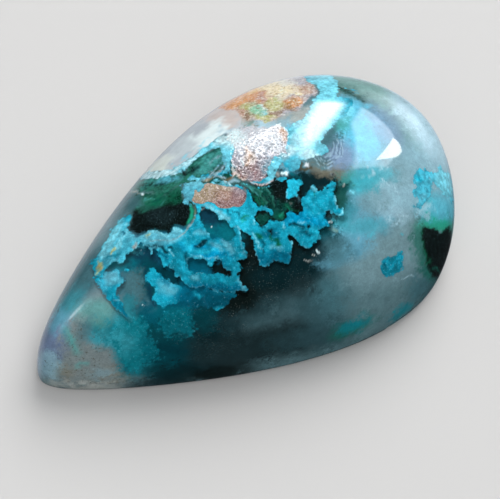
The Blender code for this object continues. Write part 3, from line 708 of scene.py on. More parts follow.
SEAMS = [
    ("frost", 1.5, [(229, 182, 1), (234, 179.5, 1.6), (239, 181, 1)]),
    ("ice", 0.8, [(206, 180, 0.2), (212, 173, 0.5), (219, 166, 0.3)]),
    ("ice", 0.8, [(213, 178, 0.2), (220, 171, 0.5), (226, 163, 0.3)]),
    ("ice", 0.8, [(209, 171, 0.2), (217, 176, 0.4), (227, 178, 0.2)]),
    ("ash", 1, [(150, 240.5, 0), (159, 240, 0.1), (168, 240, 0), (177, 238, 0.1), (183, 233, 0.2)]),
    ("olive tan", 1, [(183, 233, 0.1), (188, 228, 0.2), (193, 222, 0.1), (195.5, 214, 0), (195, 206, 0)]),
    ("ash", 1.2, [(187, 228, 0.4), (190, 225, 0.5)]),
    ("jade", 1.2, [(190, 206, 1), (192, 212, 1.5), (191, 218, 1.5), (188, 222, 1)]),
    ("olive tan", 1.8, [(203, 180, 0.1), (208, 179, 0.6), (212, 177, 0)]),
    ("olive tan", 1.6, [(211, 176, 0), (216, 173, 0.2), (220, 171, 0)]),
    ("bark", 1.8, [(226, 180, 0.2), (230, 179, 0.7), (233, 177, 0.2)]),
    ("rose", 1.6, [(233, 174, 1), (237, 172, 1.3), (240, 170, 0.7)]),
    ("foam", 0.6, [(219, 176, 0.3), (225, 180, 0.4), (230, 185, 0.4)]),
    ("pale", 0.6, [(222, 174, 0.3), (227, 167, 0.4), (231, 163, 0.4), (236, 168, 0.4)]),
    ("petal", 0.6, [(250, 181, 0.3), (258, 185, 0.5), (266, 183, 0.5), (273, 180, 0.4)]),
    ("sea", 0.8, [(243, 183, 0.4), (250, 188, 0.6), (258, 195, 0.4)]),
    ("ink", 1.5, [(183, 171, 1), (184, 175, 1.4)]),
    ("bark", 1, [(244, 188, 0.5), (246, 193, 0.8), (245, 199, 0.6), (241, 204, 0.5)]),
    ("ink", 1, [(274, 170, 0.6), (280, 170, 1), (285, 170, 0.6)]),
]
GLINTS = [
    ("ice", 0.6, [(396, 214, 0.1), (401, 216, 0.3), (405, 215.5, 0.2), (410, 215, 0.2)]),
    ("ice", 0.6, [(399, 218, 0.1), (399, 221, 0.2), (396, 225, 0.1)]),
    ("ice", 0.6, [(402, 279.5, 0.1), (407, 276.5, 0.2), (412, 275, 0.3), (415, 276, 0.1)]),
    ("ash", 0.6, [(201, 211, 0.3), (205, 208, 0.3)]),
    ("foam", 0.6, [(211, 227, 0.4), (211.5, 227.5, 0.3)]),
    ("ash", 0.8, [(304, 260, 0.4), (308, 262, 0.6), (311, 261, 0.4)]),
    ("foam", 0.8, [(317, 250, 0.8), (319, 253, 0.9)]),
    ("ash", 0.6, [(313, 254, 0.4), (315, 256, 0.4)]),
    ("foam", 0.6, [(329, 222, 0.5), (331, 222, 0.6)]),
    ("ash", 0.7, [(343, 186, 0.4), (345, 184.5, 0.5)]),
    ("ash", 0.6, [(279, 196, 0.2), (282, 195, 0.2)]),
    ("ash", 0.6, [(289, 203, 0.2), (291, 204, 0.3)]),
    ("smoke", 0.6, [(286, 200, 0.3), (288, 201, 0.3)]),
    ("ash", 0.6, [(375, 191, 0.5), (376, 191, 0.4)]),
    ("ash", 0.6, [(357, 238, 0.5), (358, 238, 0.4)]),
]

# A small agate eye, drawn as nested arcs round its centre
SWIRL_CENTRE = (326, 146)
SWIRL_BEND = [
    (341, 138), (341, 147), (338, 155), (333, 161), (327, 165), (321, 163), (317, 157), (314, 151),
]
SWIRL_SHARES = (0.45, 0.56, 0.67, 0.78, 0.89, 1, 1.11, 1.22)
SWIRL_TONES = ("storm", "ice")
SWIRL_SWAY = 0.5  # squares by which the arcs waver
SWIRL_RIPPLES = (1.3, 0.9)  # radians of that waver for each square along, and for each arc
SWIRL_RADIUS, SWIRL_SOFTNESS = 0.1, 0.9


# ---------------------------------------------------------------- drawing on the sheet

FAR = 14.0  # squares beyond which an outline no longer counts
TINY = 1e-12


def linear(colour):
    """Scene-linear colour from one written in screen steps of 0 to 255."""
    value = np.array(colour, dtype=float) / 255
    return np.where(value <= 0.04045, value / 12.92, ((value + 0.055) / 1.055) ** 2.4)


def eased(value, start, end):
    """0 at start and 1 at end, smooth between them."""
    share = np.clip((value - start) / (end - start), 0, 1)
    return share * share * (3 - 2 * share)


def rounded(outline, steps=3):
    """A closed smooth curve through the outline's points."""
    points = np.array(outline, dtype=float)
    before, after, beyond = (np.roll(points, shift, axis=0) for shift in (1, -1, -2))
    curve = []
    for step in range(steps):
        t = step / steps
        bend = 2 * before - 5 * points + 4 * after - beyond
        twist = 3 * points - before - 3 * after + beyond
        curve.append(points + 0.5 * ((after - before) * t + bend * t**2 + twist * t**3))
    return np.stack(curve, axis=1).reshape(-1, 2)


def near(spots, points):
    """Which spots are close enough to a shape for it to count."""
    low = points.min(axis=0) - FAR
    high = points.max(axis=0) + FAR
    return np.flatnonzero(((spots > low) & (spots < high)).all(axis=1))


def along_run(place, start, run):
    """How far along a run from start each place lies, from 0 to 1, and its offset from there."""
    reach = np.clip((place - start) @ run / (run @ run + TINY), 0, 1)
    return reach, place - start - reach[:, None] * run


def to_outline(spots, outline):
    """Distance in squares from each spot to a closed outline, positive inside it."""
    curve = rounded(outline)
    result = np.full(len(spots), -FAR)
    chosen = near(spots, curve)
    place = spots[chosen]
    nearest = np.full(len(place), np.inf)
    crossings = np.zeros(len(place), dtype=int)
    for start, end in zip(curve, np.roll(curve, -1, axis=0)):
        run = end - start
        _, gap = along_run(place, start, run)
        nearest = np.minimum(nearest, (gap**2).sum(axis=1))
        if start[1] != end[1]:
            straddles = (start[1] > place[:, 1]) != (end[1] > place[:, 1])
            side = start[0] + (place[:, 1] - start[1]) * run[0] / run[1]
            crossings += straddles & (place[:, 0] < side)
    result[chosen] = np.sqrt(nearest) * np.where(crossings % 2 == 1, 1, -1)
    return result


def to_stroke(spots, stroke):
    """Distance in squares to the edge of a brush stroke of changing width, positive inside it."""
    stroke = np.array(stroke, dtype=float)
    result = np.full(len(spots), -FAR)
    chosen = near(spots, stroke[:, :2])
    place = spots[chosen]
    best = np.full(len(place), -FAR)
    for start, end in zip(stroke[:-1], stroke[1:]):
        reach, gap = along_run(place, start[:2], end[:2] - start[:2])
        best = np.maximum(best, start[2] + reach * (end[2] - start[2]) - np.linalg.norm(gap, axis=1))
    result[chosen] = best
    return result


def deepest(spots, outlines):
    """Distance in squares into whichever outline each spot is deepest in."""
    return np.max([to_outline(spots, outline) for outline in outlines], axis=0)


def clouded(spots, base, clouds):
    """Colours from a base tone covered by soft elliptical clouds, one after another."""
    colours = np.tile(linear(TONES[base]), (len(spots), 1))
    for tone, column, row, wide, high, *habit in clouds:
        strength, turn, softness = (*habit, *CLOUD_HABIT[len(habit):])
        angle = math.radians(turn)
        offset = spots - np.array((column, row))
        along = (offset[:, 0] * math.cos(angle) + offset[:, 1] * math.sin(angle)) / wide
        across = (offset[:, 1] * math.cos(angle) - offset[:, 0] * math.sin(angle)) / high
        cover = strength * eased(np.hypot(along, across), 1 + softness / 2, 1 - softness / 2)
        colours += cover[:, None] * (linear(TONES[tone]) - colours)
    return colours


def brushed(spots, colours, strokes):
    """The colours with brush strokes laid over them, one after another."""
    for tone, softness, line in strokes:
        cover = eased(to_stroke(spots, line), -softness, softness)
        colours += cover[:, None] * (linear(TONES[tone]) - colours)
    return colours


def agate_arcs():
    """Thin nested bands, in turn dark and light, around the lower side of a small agate eye."""
    centre = np.array(SWIRL_CENTRE)
    per_square, per_arc = SWIRL_RIPPLES
    arcs = []
    for ring, share in enumerate(SWIRL_SHARES):
        line = []
        for place in SWIRL_BEND:
            sway = SWIRL_SWAY * math.sin(place[0] * per_square + ring * per_arc)
            column, row = centre + (np.array(place) - centre) * share
            line.append((column + sway, row - sway, SWIRL_RADIUS))
        arcs.append((SWIRL_TONES[ring % 2], SWIRL_SOFTNESS, line))
    return arcs


# ---------------------------------------------------------------- the stone's mesh


def deselect_all():
    for thing in bpy.context.view_layer.objects:
        thing.select_set(False)


def read_points(mesh):
    flat = np.empty(len(mesh.vertices) * 3)
    mesh.vertices.foreach_get("co", flat)
    return flat.reshape(-1, 3)


def read_normals(mesh):
    flat = np.empty(len(mesh.vertices) * 3)
    mesh.vertex_normals.foreach_get("vector", flat)
    return flat.reshape(-1, 3)


def write_points(mesh, points):
    mesh.vertices.foreach_set("co", points.ravel())
    mesh.update()


def facing_eye(mesh):
    """How much each point of the surface faces the camera, from -1 to 1."""
    toward_eye = np.array(EYE) - read_points(mesh)
    return (toward_eye * read_normals(mesh)).sum(axis=1) / np.linalg.norm(toward_eye, axis=1)


def divide_faces(mesh, chosen):
    """Cut each face whose corners are all chosen into four."""
    mesh.vertices.foreach_set("select", chosen)
    bpy.ops.object.mode_set(mode="EDIT")
    bpy.ops.mesh.subdivide(number_cuts=1)
    bpy.ops.mesh.select_all(action="DESELECT")
    bpy.ops.object.mode_set(mode="OBJECT")


def round_sphere(mesh):
    """The mesh's points, brought back onto the unit sphere."""
    sphere = read_points(mesh)
    return sphere / np.linalg.norm(sphere, axis=1)[:, None]


def make_stone():
    """The stone's fine surface, from a sphere with its poles at the two ends, ground flat at the back."""
    deselect_all()
    bpy.ops.mesh.primitive_uv_sphere_add(segments=MERIDIANS, ring_count=RINGS, radius=1)
    stone = bpy.context.active_object
    stone.name = "stone"
    mesh = stone.data
    mesh.name = "stone"
    bpy.context.tool_settings.mesh_select_mode = (True, False, False)
    bpy.ops.object.mode_set(mode="EDIT")
    bpy.ops.mesh.select_all(action="DESELECT")
    bpy.ops.object.mode_set(mode="OBJECT")
    for region in (None, (FINE_AREA, TUFT_AREA, SPOT_AREA), (PITTED_BROWN, COPPER_OVAL)):
        sphere = round_sphere(mesh)
        write_points(mesh, stone_surface(sphere))
        chosen = facing_eye(mesh) > FINE_FACING
        if region:
            chosen &= deepest(on_sheet(read_points(mesh)), region) > 0
        write_points(mesh, sphere)
        divide_faces(mesh, chosen)
    write_points(mesh, stone_surface(round_sphere(mesh)))
    bpy.ops.object.mode_set(mode="EDIT")
    bpy.ops.mesh.select_all(action="SELECT")
    back = {"plane_co": (0, 0, 0), "plane_no": (0, 0, 1)}
    bpy.ops.mesh.bisect(**back, use_fill=True, clear_inner=True, threshold=CUT_TOLERANCE)
    bpy.ops.mesh.select_all(action="SELECT")
    bpy.ops.mesh.normals_make_consistent(inside=False)
    bpy.ops.object.mode_set(mode="OBJECT")
    return stone


def press_pits(mesh, depth):
    """Push the surface in by small irregular pits where depth is above 0, and give how deep they are."""
    points = read_points(mesh)
    pit = np.zeros(len(points))
    for index in np.flatnonzero(depth > 0):
        place = Vector(points[index] / PIT_SIZE)
        pit[index] = noise.noise(place) + SMALL_PIT_SHARE * noise.noise(place * SMALL_PIT_SCALE)
    pit = eased(pit, *PIT_NOISE) * depth
    write_points(mesh, points - read_normals(mesh) * (pit * PIT_DEPTH)[:, None])
    return pit


# ---------------------------------------------------------------- laying the minerals on the stone

HIDDEN_FADING = 22  # squares by which a shape has shrunk where the surface faces straight away
WANDER_WAVE, FINE_WAVE, SMALL_WAVE = 2.2 * MM, 0.9 * MM, 0.42 * MM
LOOSE_DRIFT = (3.0, 2.0, 1.4)  # squares by which each of those waves moves what is drawn loosely
CLOSE_DRIFT = (0.0, 0.5, 0.3)  # and what is drawn closely
FINE_DRIFT = (0.0, 1.0, 0.0)  # and, beyond that, the clouds inside the growth and the other firm minerals
STROKE_DRIFT = (0.0, 0.3, 0.5)  # and a brush stroke
WAVE_COUNT, WAVE_SPREAD = 7, 2.6  # waves in one wandering value, and what brings their sum near -1 to 1
WAVE_STRETCH = (0.7, 1.5)  # how much shorter or longer each of them may be
SHADOW_FALL = (1.5, 4.5)  # squares by which a ledge's shadow lies to the right of it and below
RIM_LIGHT_SHARE = 0.6  # how far a ledge's painted pale rim light reaches in from its lower edge, beside the shadow's fall
PATCH_PIT_EDGE, OVAL_PIT_EDGE = (-2.0, 2.0), (-1.0, 1.5)  # depths in squares between which the pits come in
WEATHERED = (262, 284)  # row plus half the column where the brown patch's pits begin to deepen and are full
LEAST_WEATHERED = 0.3  # how deep they are before that
OVAL_PITS = 0.5  # depth of the oval's pits beside the brown patch's
OCHRE_FADING, CREAM_FADING = 0.3, 0.2  # how much of the fading these two take


def swirl(points, wavelength, seed):
    """Smooth irregular values near -1 to 1 that wander through space with about this wavelength."""
    draw = np.random.default_rng(seed)
    total = np.zeros(len(points))
    for _ in range(WAVE_COUNT):
        direction = draw.normal(size=3)
        direction *= draw.uniform(*WAVE_STRETCH) / np.linalg.norm(direction)
        total += np.sin(points @ direction * (2 * math.pi / wavelength) + draw.uniform(0, 2 * math.pi))
    return total / WAVE_SPREAD


class Drawing:
    """A mesh's points on the sheet, drawn true or moved by the waves, and the values kept for them."""

    def __init__(self, mesh):
        self.mesh = mesh
        points = read_points(mesh)
        self.fading = HIDDEN_FADING * np.clip(-facing_eye(mesh), 0, 1)
        self.true = on_sheet(points)
        self.waves = []
        for number, wavelength in enumerate((WANDER_WAVE, FINE_WAVE, SMALL_WAVE)):
            pair = [swirl(points, wavelength, 2 * number + seed) for seed in (1, 2)]
            self.waves.append(np.stack(pair, axis=1))
        self.loose = self.true + self.drift(LOOSE_DRIFT)
        self.astray = self.true - self.drift(LOOSE_DRIFT)
        self.close = self.true + self.drift(CLOSE_DRIFT)
        self.fine = self.close + self.drift(FINE_DRIFT)
        self.stroke = self.close + self.drift(STROKE_DRIFT)

    def drift(self, amounts):
        return sum(amount * wave for amount, wave in zip(amounts, self.waves))

    def keep(self, name, values):
        """Keep one number, or one colour, for each vertex."""
        if values.ndim == 1:
            attribute = self.mesh.attributes.new(name, "FLOAT", "POINT")
            attribute.data.foreach_set("value", values.astype(np.float32))
        else:
            attribute = self.mesh.attributes.new(name, "FLOAT_COLOR", "POINT")
            rgba = np.concatenate([values, np.ones((len(values), 1))], axis=1)
            attribute.data.foreach_set("color", rgba.astype(np.float32).ravel())

    def keep_reach(self, name, reach, fading=1.0):
        """Keep how deep each point is in a mineral, less towards the hidden side."""
        self.keep(name, reach - fading * self.fading)


def growth_reach(spots, shapes, lines=()):
    """Distance in squares into turquoise growth, positive inside it and outside its holes."""
    reach = [to_outline(spots, shape) for shape in shapes]
    reach += [to_stroke(spots, line) for line in lines]
    return np.minimum(np.max(reach, axis=0), -deepest(spots, HOLES))


def lay_copper(drawing):
    """The copper-brown patches, with their pits pressed into the mesh."""
    pitted = to_outline(drawing.close, PITTED_BROWN) - drawing.fading
    oval = to_outline(drawing.close, COPPER_OVAL) - drawing.fading
    slant = drawing.true[:, 1] + 0.5 * drawing.true[:, 0]
    weathered = LEAST_WEATHERED + (1 - LEAST_WEATHERED) * eased(slant, *WEATHERED)
    depth = np.maximum(eased(pitted, *PATCH_PIT_EDGE) * weathered, OVAL_PITS * eased(oval, *OVAL_PIT_EDGE))
    drawing.keep("pit", press_pits(drawing.mesh, depth))
    drawing.keep("pitted", pitted)
    drawing.keep("oval", oval)
    drawing.keep_reach("ochre", to_outline(drawing.close, OCHRE), OCHRE_FADING)


def lay_shapes(drawing):
    """How deep each point is in the other minerals, in the growth's shadow and in the patches of grain."""
    close = drawing.close
    drawing.keep_reach("growth", growth_reach(close, GROWTHS, THREADS))
    # over: where the growth's masses cast their painted shadow, to their lower right
    drawing.keep_reach("over", growth_reach(close - np.array(SHADOW_FALL), MASSES))
    # under: where the growth's painted pale rim light lies, just inside its lower edges
    drawing.keep_reach("under", growth_reach(close + np.array(SHADOW_FALL) * RIM_LIGHT_SHARE, MASSES))
    lobes = np.maximum(deepest(close, LOBES), DEEP_LOBE_FIRMNESS * deepest(close, DEEP_LOBES))
    drawing.keep_reach("lobe", lobes)
    malachite = np.maximum(deepest(close, MALACHITES), to_stroke(close, DARK_LINE))
    drawing.keep_reach("malachite", malachite)
    drawing.keep_reach("cream", to_outline(close, CREAM), CREAM_FADING)
    drawing.keep_reach("sparkling", deepest(drawing.loose, SPARKLING))
    drawing.keep_reach("dusty", deepest(drawing.loose, DUSTY))


def lay_colours(drawing):
    """The colours of each mineral over the whole stone: its clouds, strokes, seams and glints."""
    ground = (GROUND_CLOUDS, GROUND_STROKES + agate_arcs(), SEAMS)
    layers = {
        "ground_colour": (drawing.loose, "smoke", *ground),
        "haze_colour": (drawing.astray, "smoke", *ground),
        "growth_colour": (drawing.fine, "turquoise", GROWTH_CLOUDS, GROWTH_STROKES, SEAMS),
        "malachite_colour": (drawing.fine, "ink", MINERAL_CLOUDS, MINERAL_STROKES, SEAMS),
        "copper_colour": (drawing.fine, "tan", COPPER_CLOUDS, COPPER_STROKES, []),
        "pale_colour": (drawing.loose, "pearl", PALE_CLOUDS, [], []),
    }
    for name, (spots, base, clouds, strokes, seams) in layers.items():
        colours = clouded(spots, base, clouds)
        colours = brushed(drawing.stroke, colours, strokes)
        drawing.keep(name, brushed(drawing.close, colours, seams + GLINTS))


# ---------------------------------------------------------------- materials


class Value:
    """A socket that takes part in arithmetic: an expression on values adds its Math nodes."""

    def __init__(self, tree, socket):
        self.tree = tree
        self.socket = socket

    def math(self, operation, *given, clamp=False):
        return add_node(self.tree, "ShaderNodeMath", {"operation": operation, "use_clamp": clamp}, given)

    def __add__(self, other):
        return self.math("ADD", self, other)

    def __radd__(self, other):
        return self.math("ADD", other, self)

    def __sub__(self, other):
        return self.math("SUBTRACT", self, other)

    def __rsub__(self, other):
        return self.math("SUBTRACT", other, self)

    def __mul__(self, other):
        return self.math("MULTIPLY", self, other)

    def __rmul__(self, other):
        return self.math("MULTIPLY", other, self)

    def __neg__(self):
        return self.math("MULTIPLY", self, -1.0)

    def __pow__(self, other):
        return self.math("POWER", self, other)

    def size(self):
        return self.math("ABSOLUTE", self)

    def most(self, other):
        return self.math("MAXIMUM", self, other)

    def clipped(self):
        return self.math("ADD", self, 0.0, clamp=True)

    def ramp(self, start, end):
        """0 at start and 1 at end, smooth between them."""
        settings = {"interpolation_type": "SMOOTHSTEP", "clamp": True}
        sockets = {"Value": self, "From Min": start, "From Max": end}
        return add_node(self.tree, "ShaderNodeMapRange", settings, sockets)


def add_node(tree, kind, settings=None, inputs=(), output=0):
    """Add a node, set it up, feed its sockets with numbers, colours or values, and give one output."""
    node = tree.nodes.new(kind)
    for name, setting in (settings or {}).items():
        setattr(node, name, setting)
    pairs = inputs.items() if isinstance(inputs, dict) else enumerate(inputs)
    for key, given in pairs:
        socket = node.inputs[key]
        if isinstance(given, Value):
            tree.links.new(given.socket, socket)
        else:
            socket.default_value = given
    return Value(tree, node.outputs[output])


class Paintbox:
    """The nodes of one material, and short words for the ones that its surface needs."""

    def __init__(self, name):
        self.material = bpy.data.materials.new(name)
        self.material.use_nodes = True
        self.tree = self.material.node_tree
        self.shader = self.tree.nodes["Principled BSDF"]
        place = add_node(self.tree, "ShaderNodeTexCoord", output="Object")
        self.place = add_node(self.tree, "ShaderNodeMapping", None, {"Vector": place, "Scale": (1 / MM,) * 3})

    def stored(self, name):
        return add_node(self.tree, "ShaderNodeAttribute", {"attribute_name": name}, output="Fac")

    def stored_colour(self, name):
        return add_node(self.tree, "ShaderNodeAttribute", {"attribute_name": name}, output="Color")

    def noise(self, per_mm, detail, roughness, distortion=0.0):
        sockets = {"Vector": self.place, "Scale": per_mm, "Detail": detail}
        sockets.update({"Roughness": roughness, "Distortion": distortion})
        return add_node(self.tree, "ShaderNodeTexNoise", None, sockets, "Fac")

    def cells(self, per_mm, smoothness):
        sockets = {"Vector": self.place, "Scale": per_mm, "Smoothness": smoothness}
        return add_node(self.tree, "ShaderNodeTexVoronoi", {"feature": "SMOOTH_F1"}, sockets, "Distance")

    def mix(self, first, second, amount):
        settings = {"data_type": "RGBA"}
        return add_node(self.tree, "ShaderNodeMix", settings, {"Factor": amount, 6: first, 7: second}, 2)

    def toned(self, colour, tone, amount):
        """A colour mixed towards one of the named tones."""
        return self.mix(colour, (*linear(TONES[tone]), 1.0), amount)

    def dimmed(self, colour, amount):
        """A colour times a grey value."""
        grey = add_node(self.tree, "ShaderNodeCombineXYZ", None, [amount, amount, amount])
        return add_node(self.tree, "ShaderNodeVectorMath", {"operation": "MULTIPLY"}, [colour, grey])

    def feed(self, socket, given):
        if isinstance(given, Value):
            self.tree.links.new(given.socket, self.shader.inputs[socket])
        else:
            self.shader.inputs[socket].default_value = given


COAT_IOR, COAT_ROUGHNESS = 1.54, 0.03  # quartz, well polished
BODY_ROUGHNESS = 0.6
RELIEF_DEPTH = 0.12 * MM
RELIEF_STRENGTH = 0.6
EDGE_RELIEF, LUMP_RELIEF, LOBE_RELIEF, FLECK_RELIEF = 0.6, 0.45, 0.3, 0.05

# Squares by which the grain, the crumbs and the small crumbs move a ragged edge
RAGGED_GRAIN, RAGGED_CRUMB, RAGGED_SMALL = 2.4, 3.0, 1.4
# Depths, in squares, between which each mineral and each of its effects fades in
GROWTH_EDGE, LOBE_EDGE, MALACHITE_EDGE = (-0.6, 0.9), (-1.2, 1.2), (-2.4, 2.0)
OVAL_EDGE, BROWN_EDGE, CREAM_EDGE = (-0.6, 0.6), (-1.5, 1.5), (-0.8, 0.8)
SHADOW_EDGE, SPARKLING_EDGE, DUSTY_EDGE = (-2.5, 2.5), (-6.0, 6.0), (-8.0, 8.0)
# How strongly each effect shows, from 0 to 1
LEDGE_SHADOW, LOBE_SHADOW, SPARKLES, DUST = 0.6, 0.35, 0.34, 0.6
# the glitters are painted small highlights on the growth and its lobes; then painted light on its mound tops
# and a painted pale rim light along its lower edges
GLITTER, LOBE_GLITTER, PAINTED_TOP_LIGHT, PAINTED_RIM_LIGHT = 0.33, 0.24, 0.08, 0.2
GREEN_SPECKS, GREEN_GRAIN = 0.6, 0.06
PALE_THREADS, DARK_BLOTCHES, PALE_BLOTCHES, STAINS = 0.4, 0.6, 0.5, 0.6
PIT_DARKNESS, PIT_DULLNESS = 0.35, 0.6


class StonePaints(Paintbox):
    """The stone's paintbox: the textures and the depths in each mineral that its layers share.

    Depths are in squares of the drawing sheet, and the ragged ones are moved about by the fine textures.
    """

    def __init__(self):
        super().__init__("polished_chrysocolla")
        self.grain = self.noise(per_mm=7, detail=3, roughness=0.6)
        self.fleck = self.noise(per_mm=16, detail=2, roughness=0.6)
        self.cloudy = self.noise(per_mm=1.6, detail=4, roughness=0.55)
        self.specks = self.noise(per_mm=19, detail=1, roughness=0.5).ramp(0.66, 0.76)
        self.glitter = self.grain.ramp(0.56, 0.72) * self.fleck.ramp(0.42, 0.60)
        crumb = self.cells(per_mm=3.8, smoothness=0.5)
        small_crumb = self.cells(per_mm=9, smoothness=0.4)
        crumbs = (0.42 - crumb) * RAGGED_CRUMB + (0.4 - small_crumb) * RAGGED_SMALL
        self.ragged = (self.grain - 0.5) * RAGGED_GRAIN + crumbs
        mounds = (0.5 - self.cells(per_mm=2.4, smoothness=0.6)) * 0.9
        swells = (self.noise(per_mm=1.1, detail=4, roughness=0.6) - 0.5) * 1.6
        self.lump = mounds + swells + (self.grain - 0.5) * 1.2 + (0.4 - crumb) + (self.fleck - 0.5)
        self.edge = self.stored("growth") + self.ragged
        self.lobe_edge = self.stored("lobe") + self.ragged * 1.3
        self.growth = self.edge.ramp(*GROWTH_EDGE)
        self.lobe = self.lobe_edge.ramp(*LOBE_EDGE)
        # painted shadow: the growth's masses darken what lies to their lower right
        self.shade = (self.stored("over") + self.ragged * 0.7).ramp(*SHADOW_EDGE)
        self.oval = (self.stored("oval") + (self.grain - 0.5) * 1.5).ramp(*OVAL_EDGE)
        self.pitted = (self.stored("pitted") + self.ragged * 0.8).ramp(*BROWN_EDGE)
        self.ochre = (self.stored("ochre") + self.ragged * 0.8).ramp(*BROWN_EDGE)
        self.pit = self.stored("pit")


def chalcedony(paint):
    """Cloudy, with fine grains, sparkles and dust, and a painted shadow under the growth's ledges."""
    speckle = ((paint.grain - 0.5) * 2.5 + (paint.cloudy - 0.5) * 3.0 + 0.5).clipped()
    ground = paint.mix(paint.stored_colour("ground_colour"), paint.stored_colour("haze_colour"), speckle)
    ground = paint.dimmed(ground, 0.70 + paint.cloudy * 0.60)
    ground = paint.dimmed(ground, 0.66 + paint.fleck * 0.36 + paint.grain * 0.32 + paint.lump * 0.10)
    sparkles = paint.specks * paint.stored("sparkling").ramp(*SPARKLING_EDGE) * paint.cloudy.ramp(0.40, 0.58)
    ground = paint.toned(ground, "ash", sparkles * SPARKLES)
    grit = paint.noise(per_mm=6.5, detail=3, roughness=0.65).ramp(0.57, 0.68)
    ground = paint.toned(ground, "umber", grit * paint.stored("dusty").ramp(*DUSTY_EDGE) * DUST)
    return paint.dimmed(ground, 1 - paint.shade * LEDGE_SHADOW)


def deep_growth(paint):
    """The soft lobes of growth that lie deeper in the stone, with painted shade between their mounds, painted
    glitter and a painted shadow under the ledges.
    """
    # painted shade and light: darker between the mounds, lighter on them
    colour = paint.dimmed(paint.stored_colour("growth_colour"), 0.66 + paint.lump.ramp(-1.1, 1.1) * 0.48)
    colour = paint.toned(colour, "pale", paint.glitter * LOBE_GLITTER)
    return paint.dimmed(colour, 1.1 - paint.shade * LOBE_SHADOW)


def malachite(paint):
    """Near black and deep green, with fine grey-green specks."""
    mottle = paint.grain * 1.3 + paint.noise(per_mm=2.6, detail=3, roughness=0.6) * 1.6 - 0.65
    dark = paint.dimmed(paint.stored_colour("malachite_colour"), mottle)
    grey = paint.specks * GREEN_SPECKS + paint.grain.ramp(0.5, 0.75) * GREEN_GRAIN
    return paint.toned(dark, "smoke", grey)


def copper(paint):
    """Copper-brown and ochre: mottled, with pale threads, dark blotches and dark pits."""
    brown = paint.oval.most(paint.pitted)
    colour = paint.stored_colour("copper_colour")
    colour = paint.dimmed(colour, 0.10 + paint.grain * 1.1 + paint.fleck * 0.36)
    threads = (paint.noise(per_mm=5.5, detail=2, roughness=0.5, distortion=1.0) - 0.5).size()
    colour = paint.toned(colour, "petal", threads.ramp(0.07, 0.01) * PALE_THREADS)
    blotch = paint.noise(per_mm=4.2, detail=4, roughness=0.65)
    colour = paint.toned(colour, "bark", blotch.ramp(0.54, 0.66) * paint.ochre * DARK_BLOTCHES)
    colour = paint.toned(colour, "ivory", blotch.ramp(0.45, 0.35) * paint.ochre * PALE_BLOTCHES)
    stains = paint.noise(per_mm=8, detail=2, roughness=0.5).ramp(0.60, 0.72)
    colour = paint.toned(colour, "maroon", stains * brown * STAINS)
    return paint.dimmed(colour, 1 - paint.pit * PIT_DARKNESS)


def crust(paint):
    """Turquoise growth: mounds with painted shade in the gaps between them and painted light on their tops,
    painted glitter, a painted pale rim light along its lower edges and painted shade towards its edges.
    """
    # painted shade and light: darker in the gaps between the mounds, lighter on their tops
    colour = paint.dimmed(paint.stored_colour("growth_colour"), 0.59 + paint.lump.ramp(-0.7, 0.7) * 0.56)
    colour = paint.toned(colour, "wash", paint.lump.ramp(0.35, 1.1) * PAINTED_TOP_LIGHT)
    colour = paint.toned(colour, "pale", paint.glitter * GLITTER)
    # painted rim light: paler just inside the growth's lower edges, above where its painted shadow falls
    lower = (paint.stored("under") + paint.ragged).ramp(1.0, -1.5)
    rim = paint.edge.ramp(2.6, 0.3) * lower * paint.cloudy.ramp(0.35, 0.65)
    colour = paint.toned(colour, "pale", rim * PAINTED_RIM_LIGHT)
    # painted shade: darker towards the growth's edges
    return paint.dimmed(colour, 0.75 + paint.edge.ramp(-0.5, 2.0) * 0.25)


def relief(paint):
    """Low relief at the edges of the growth and over its mounds."""
    height = paint.edge.ramp(-1.5, 4.0) * EDGE_RELIEF + paint.lobe_edge.ramp(-2, 6) * LOBE_RELIEF
    height = height + paint.lump * paint.growth.most(paint.lobe) * LUMP_RELIEF + paint.fleck * FLECK_RELIEF
    sockets = {"Height": height, "Distance": RELIEF_DEPTH, "Strength": RELIEF_STRENGTH}
    return add_node(paint.tree, "ShaderNodeBump", None, sockets)


def stone_material():
    """The minerals laid one over another, under a clear polish."""
    paint = StonePaints()
    colour = paint.mix(chalcedony(paint), deep_growth(paint), paint.lobe)
    dark = (paint.stored("malachite") + paint.ragged * 0.9).ramp(*MALACHITE_EDGE)
    colour = paint.mix(colour, malachite(paint), dark)
    cream = (paint.stored("cream") + (paint.grain - 0.5) * 1.5).ramp(*CREAM_EDGE)
    pale = paint.dimmed(paint.stored_colour("pale_colour"), 0.82 + paint.cloudy * 0.36)
    colour = paint.mix(colour, pale, cream)
    colour = paint.mix(colour, copper(paint), paint.oval.most(paint.pitted).most(paint.ochre))
    colour = paint.mix(colour, crust(paint), paint.growth * (1 - paint.oval))
    paint.feed("Base Color", colour)
    paint.feed("Normal", relief(paint))
    paint.feed("Roughness", BODY_ROUGHNESS)
    paint.feed("Specular IOR Level", 0.0)
    paint.feed("Coat Weight", 1 - paint.pit * PIT_DULLNESS)
    paint.feed("Coat Roughness", COAT_ROUGHNESS)
    paint.feed("Coat IOR", COAT_IOR)
    return paint.material


# ---------------------------------------------------------------- the studio

WHITE = (1, 1, 1)
PANEL_DISTANCE = 0.5
# Panels: azimuth, elevation, width, height, radiance
LEFT_PANE = (153, 42, 0.08, 0.18, 9)
KEY = (120, 52, 0.40, 0.40, 5.4)
FILL = (-45, 48, 0.50, 0.50, 2.0)

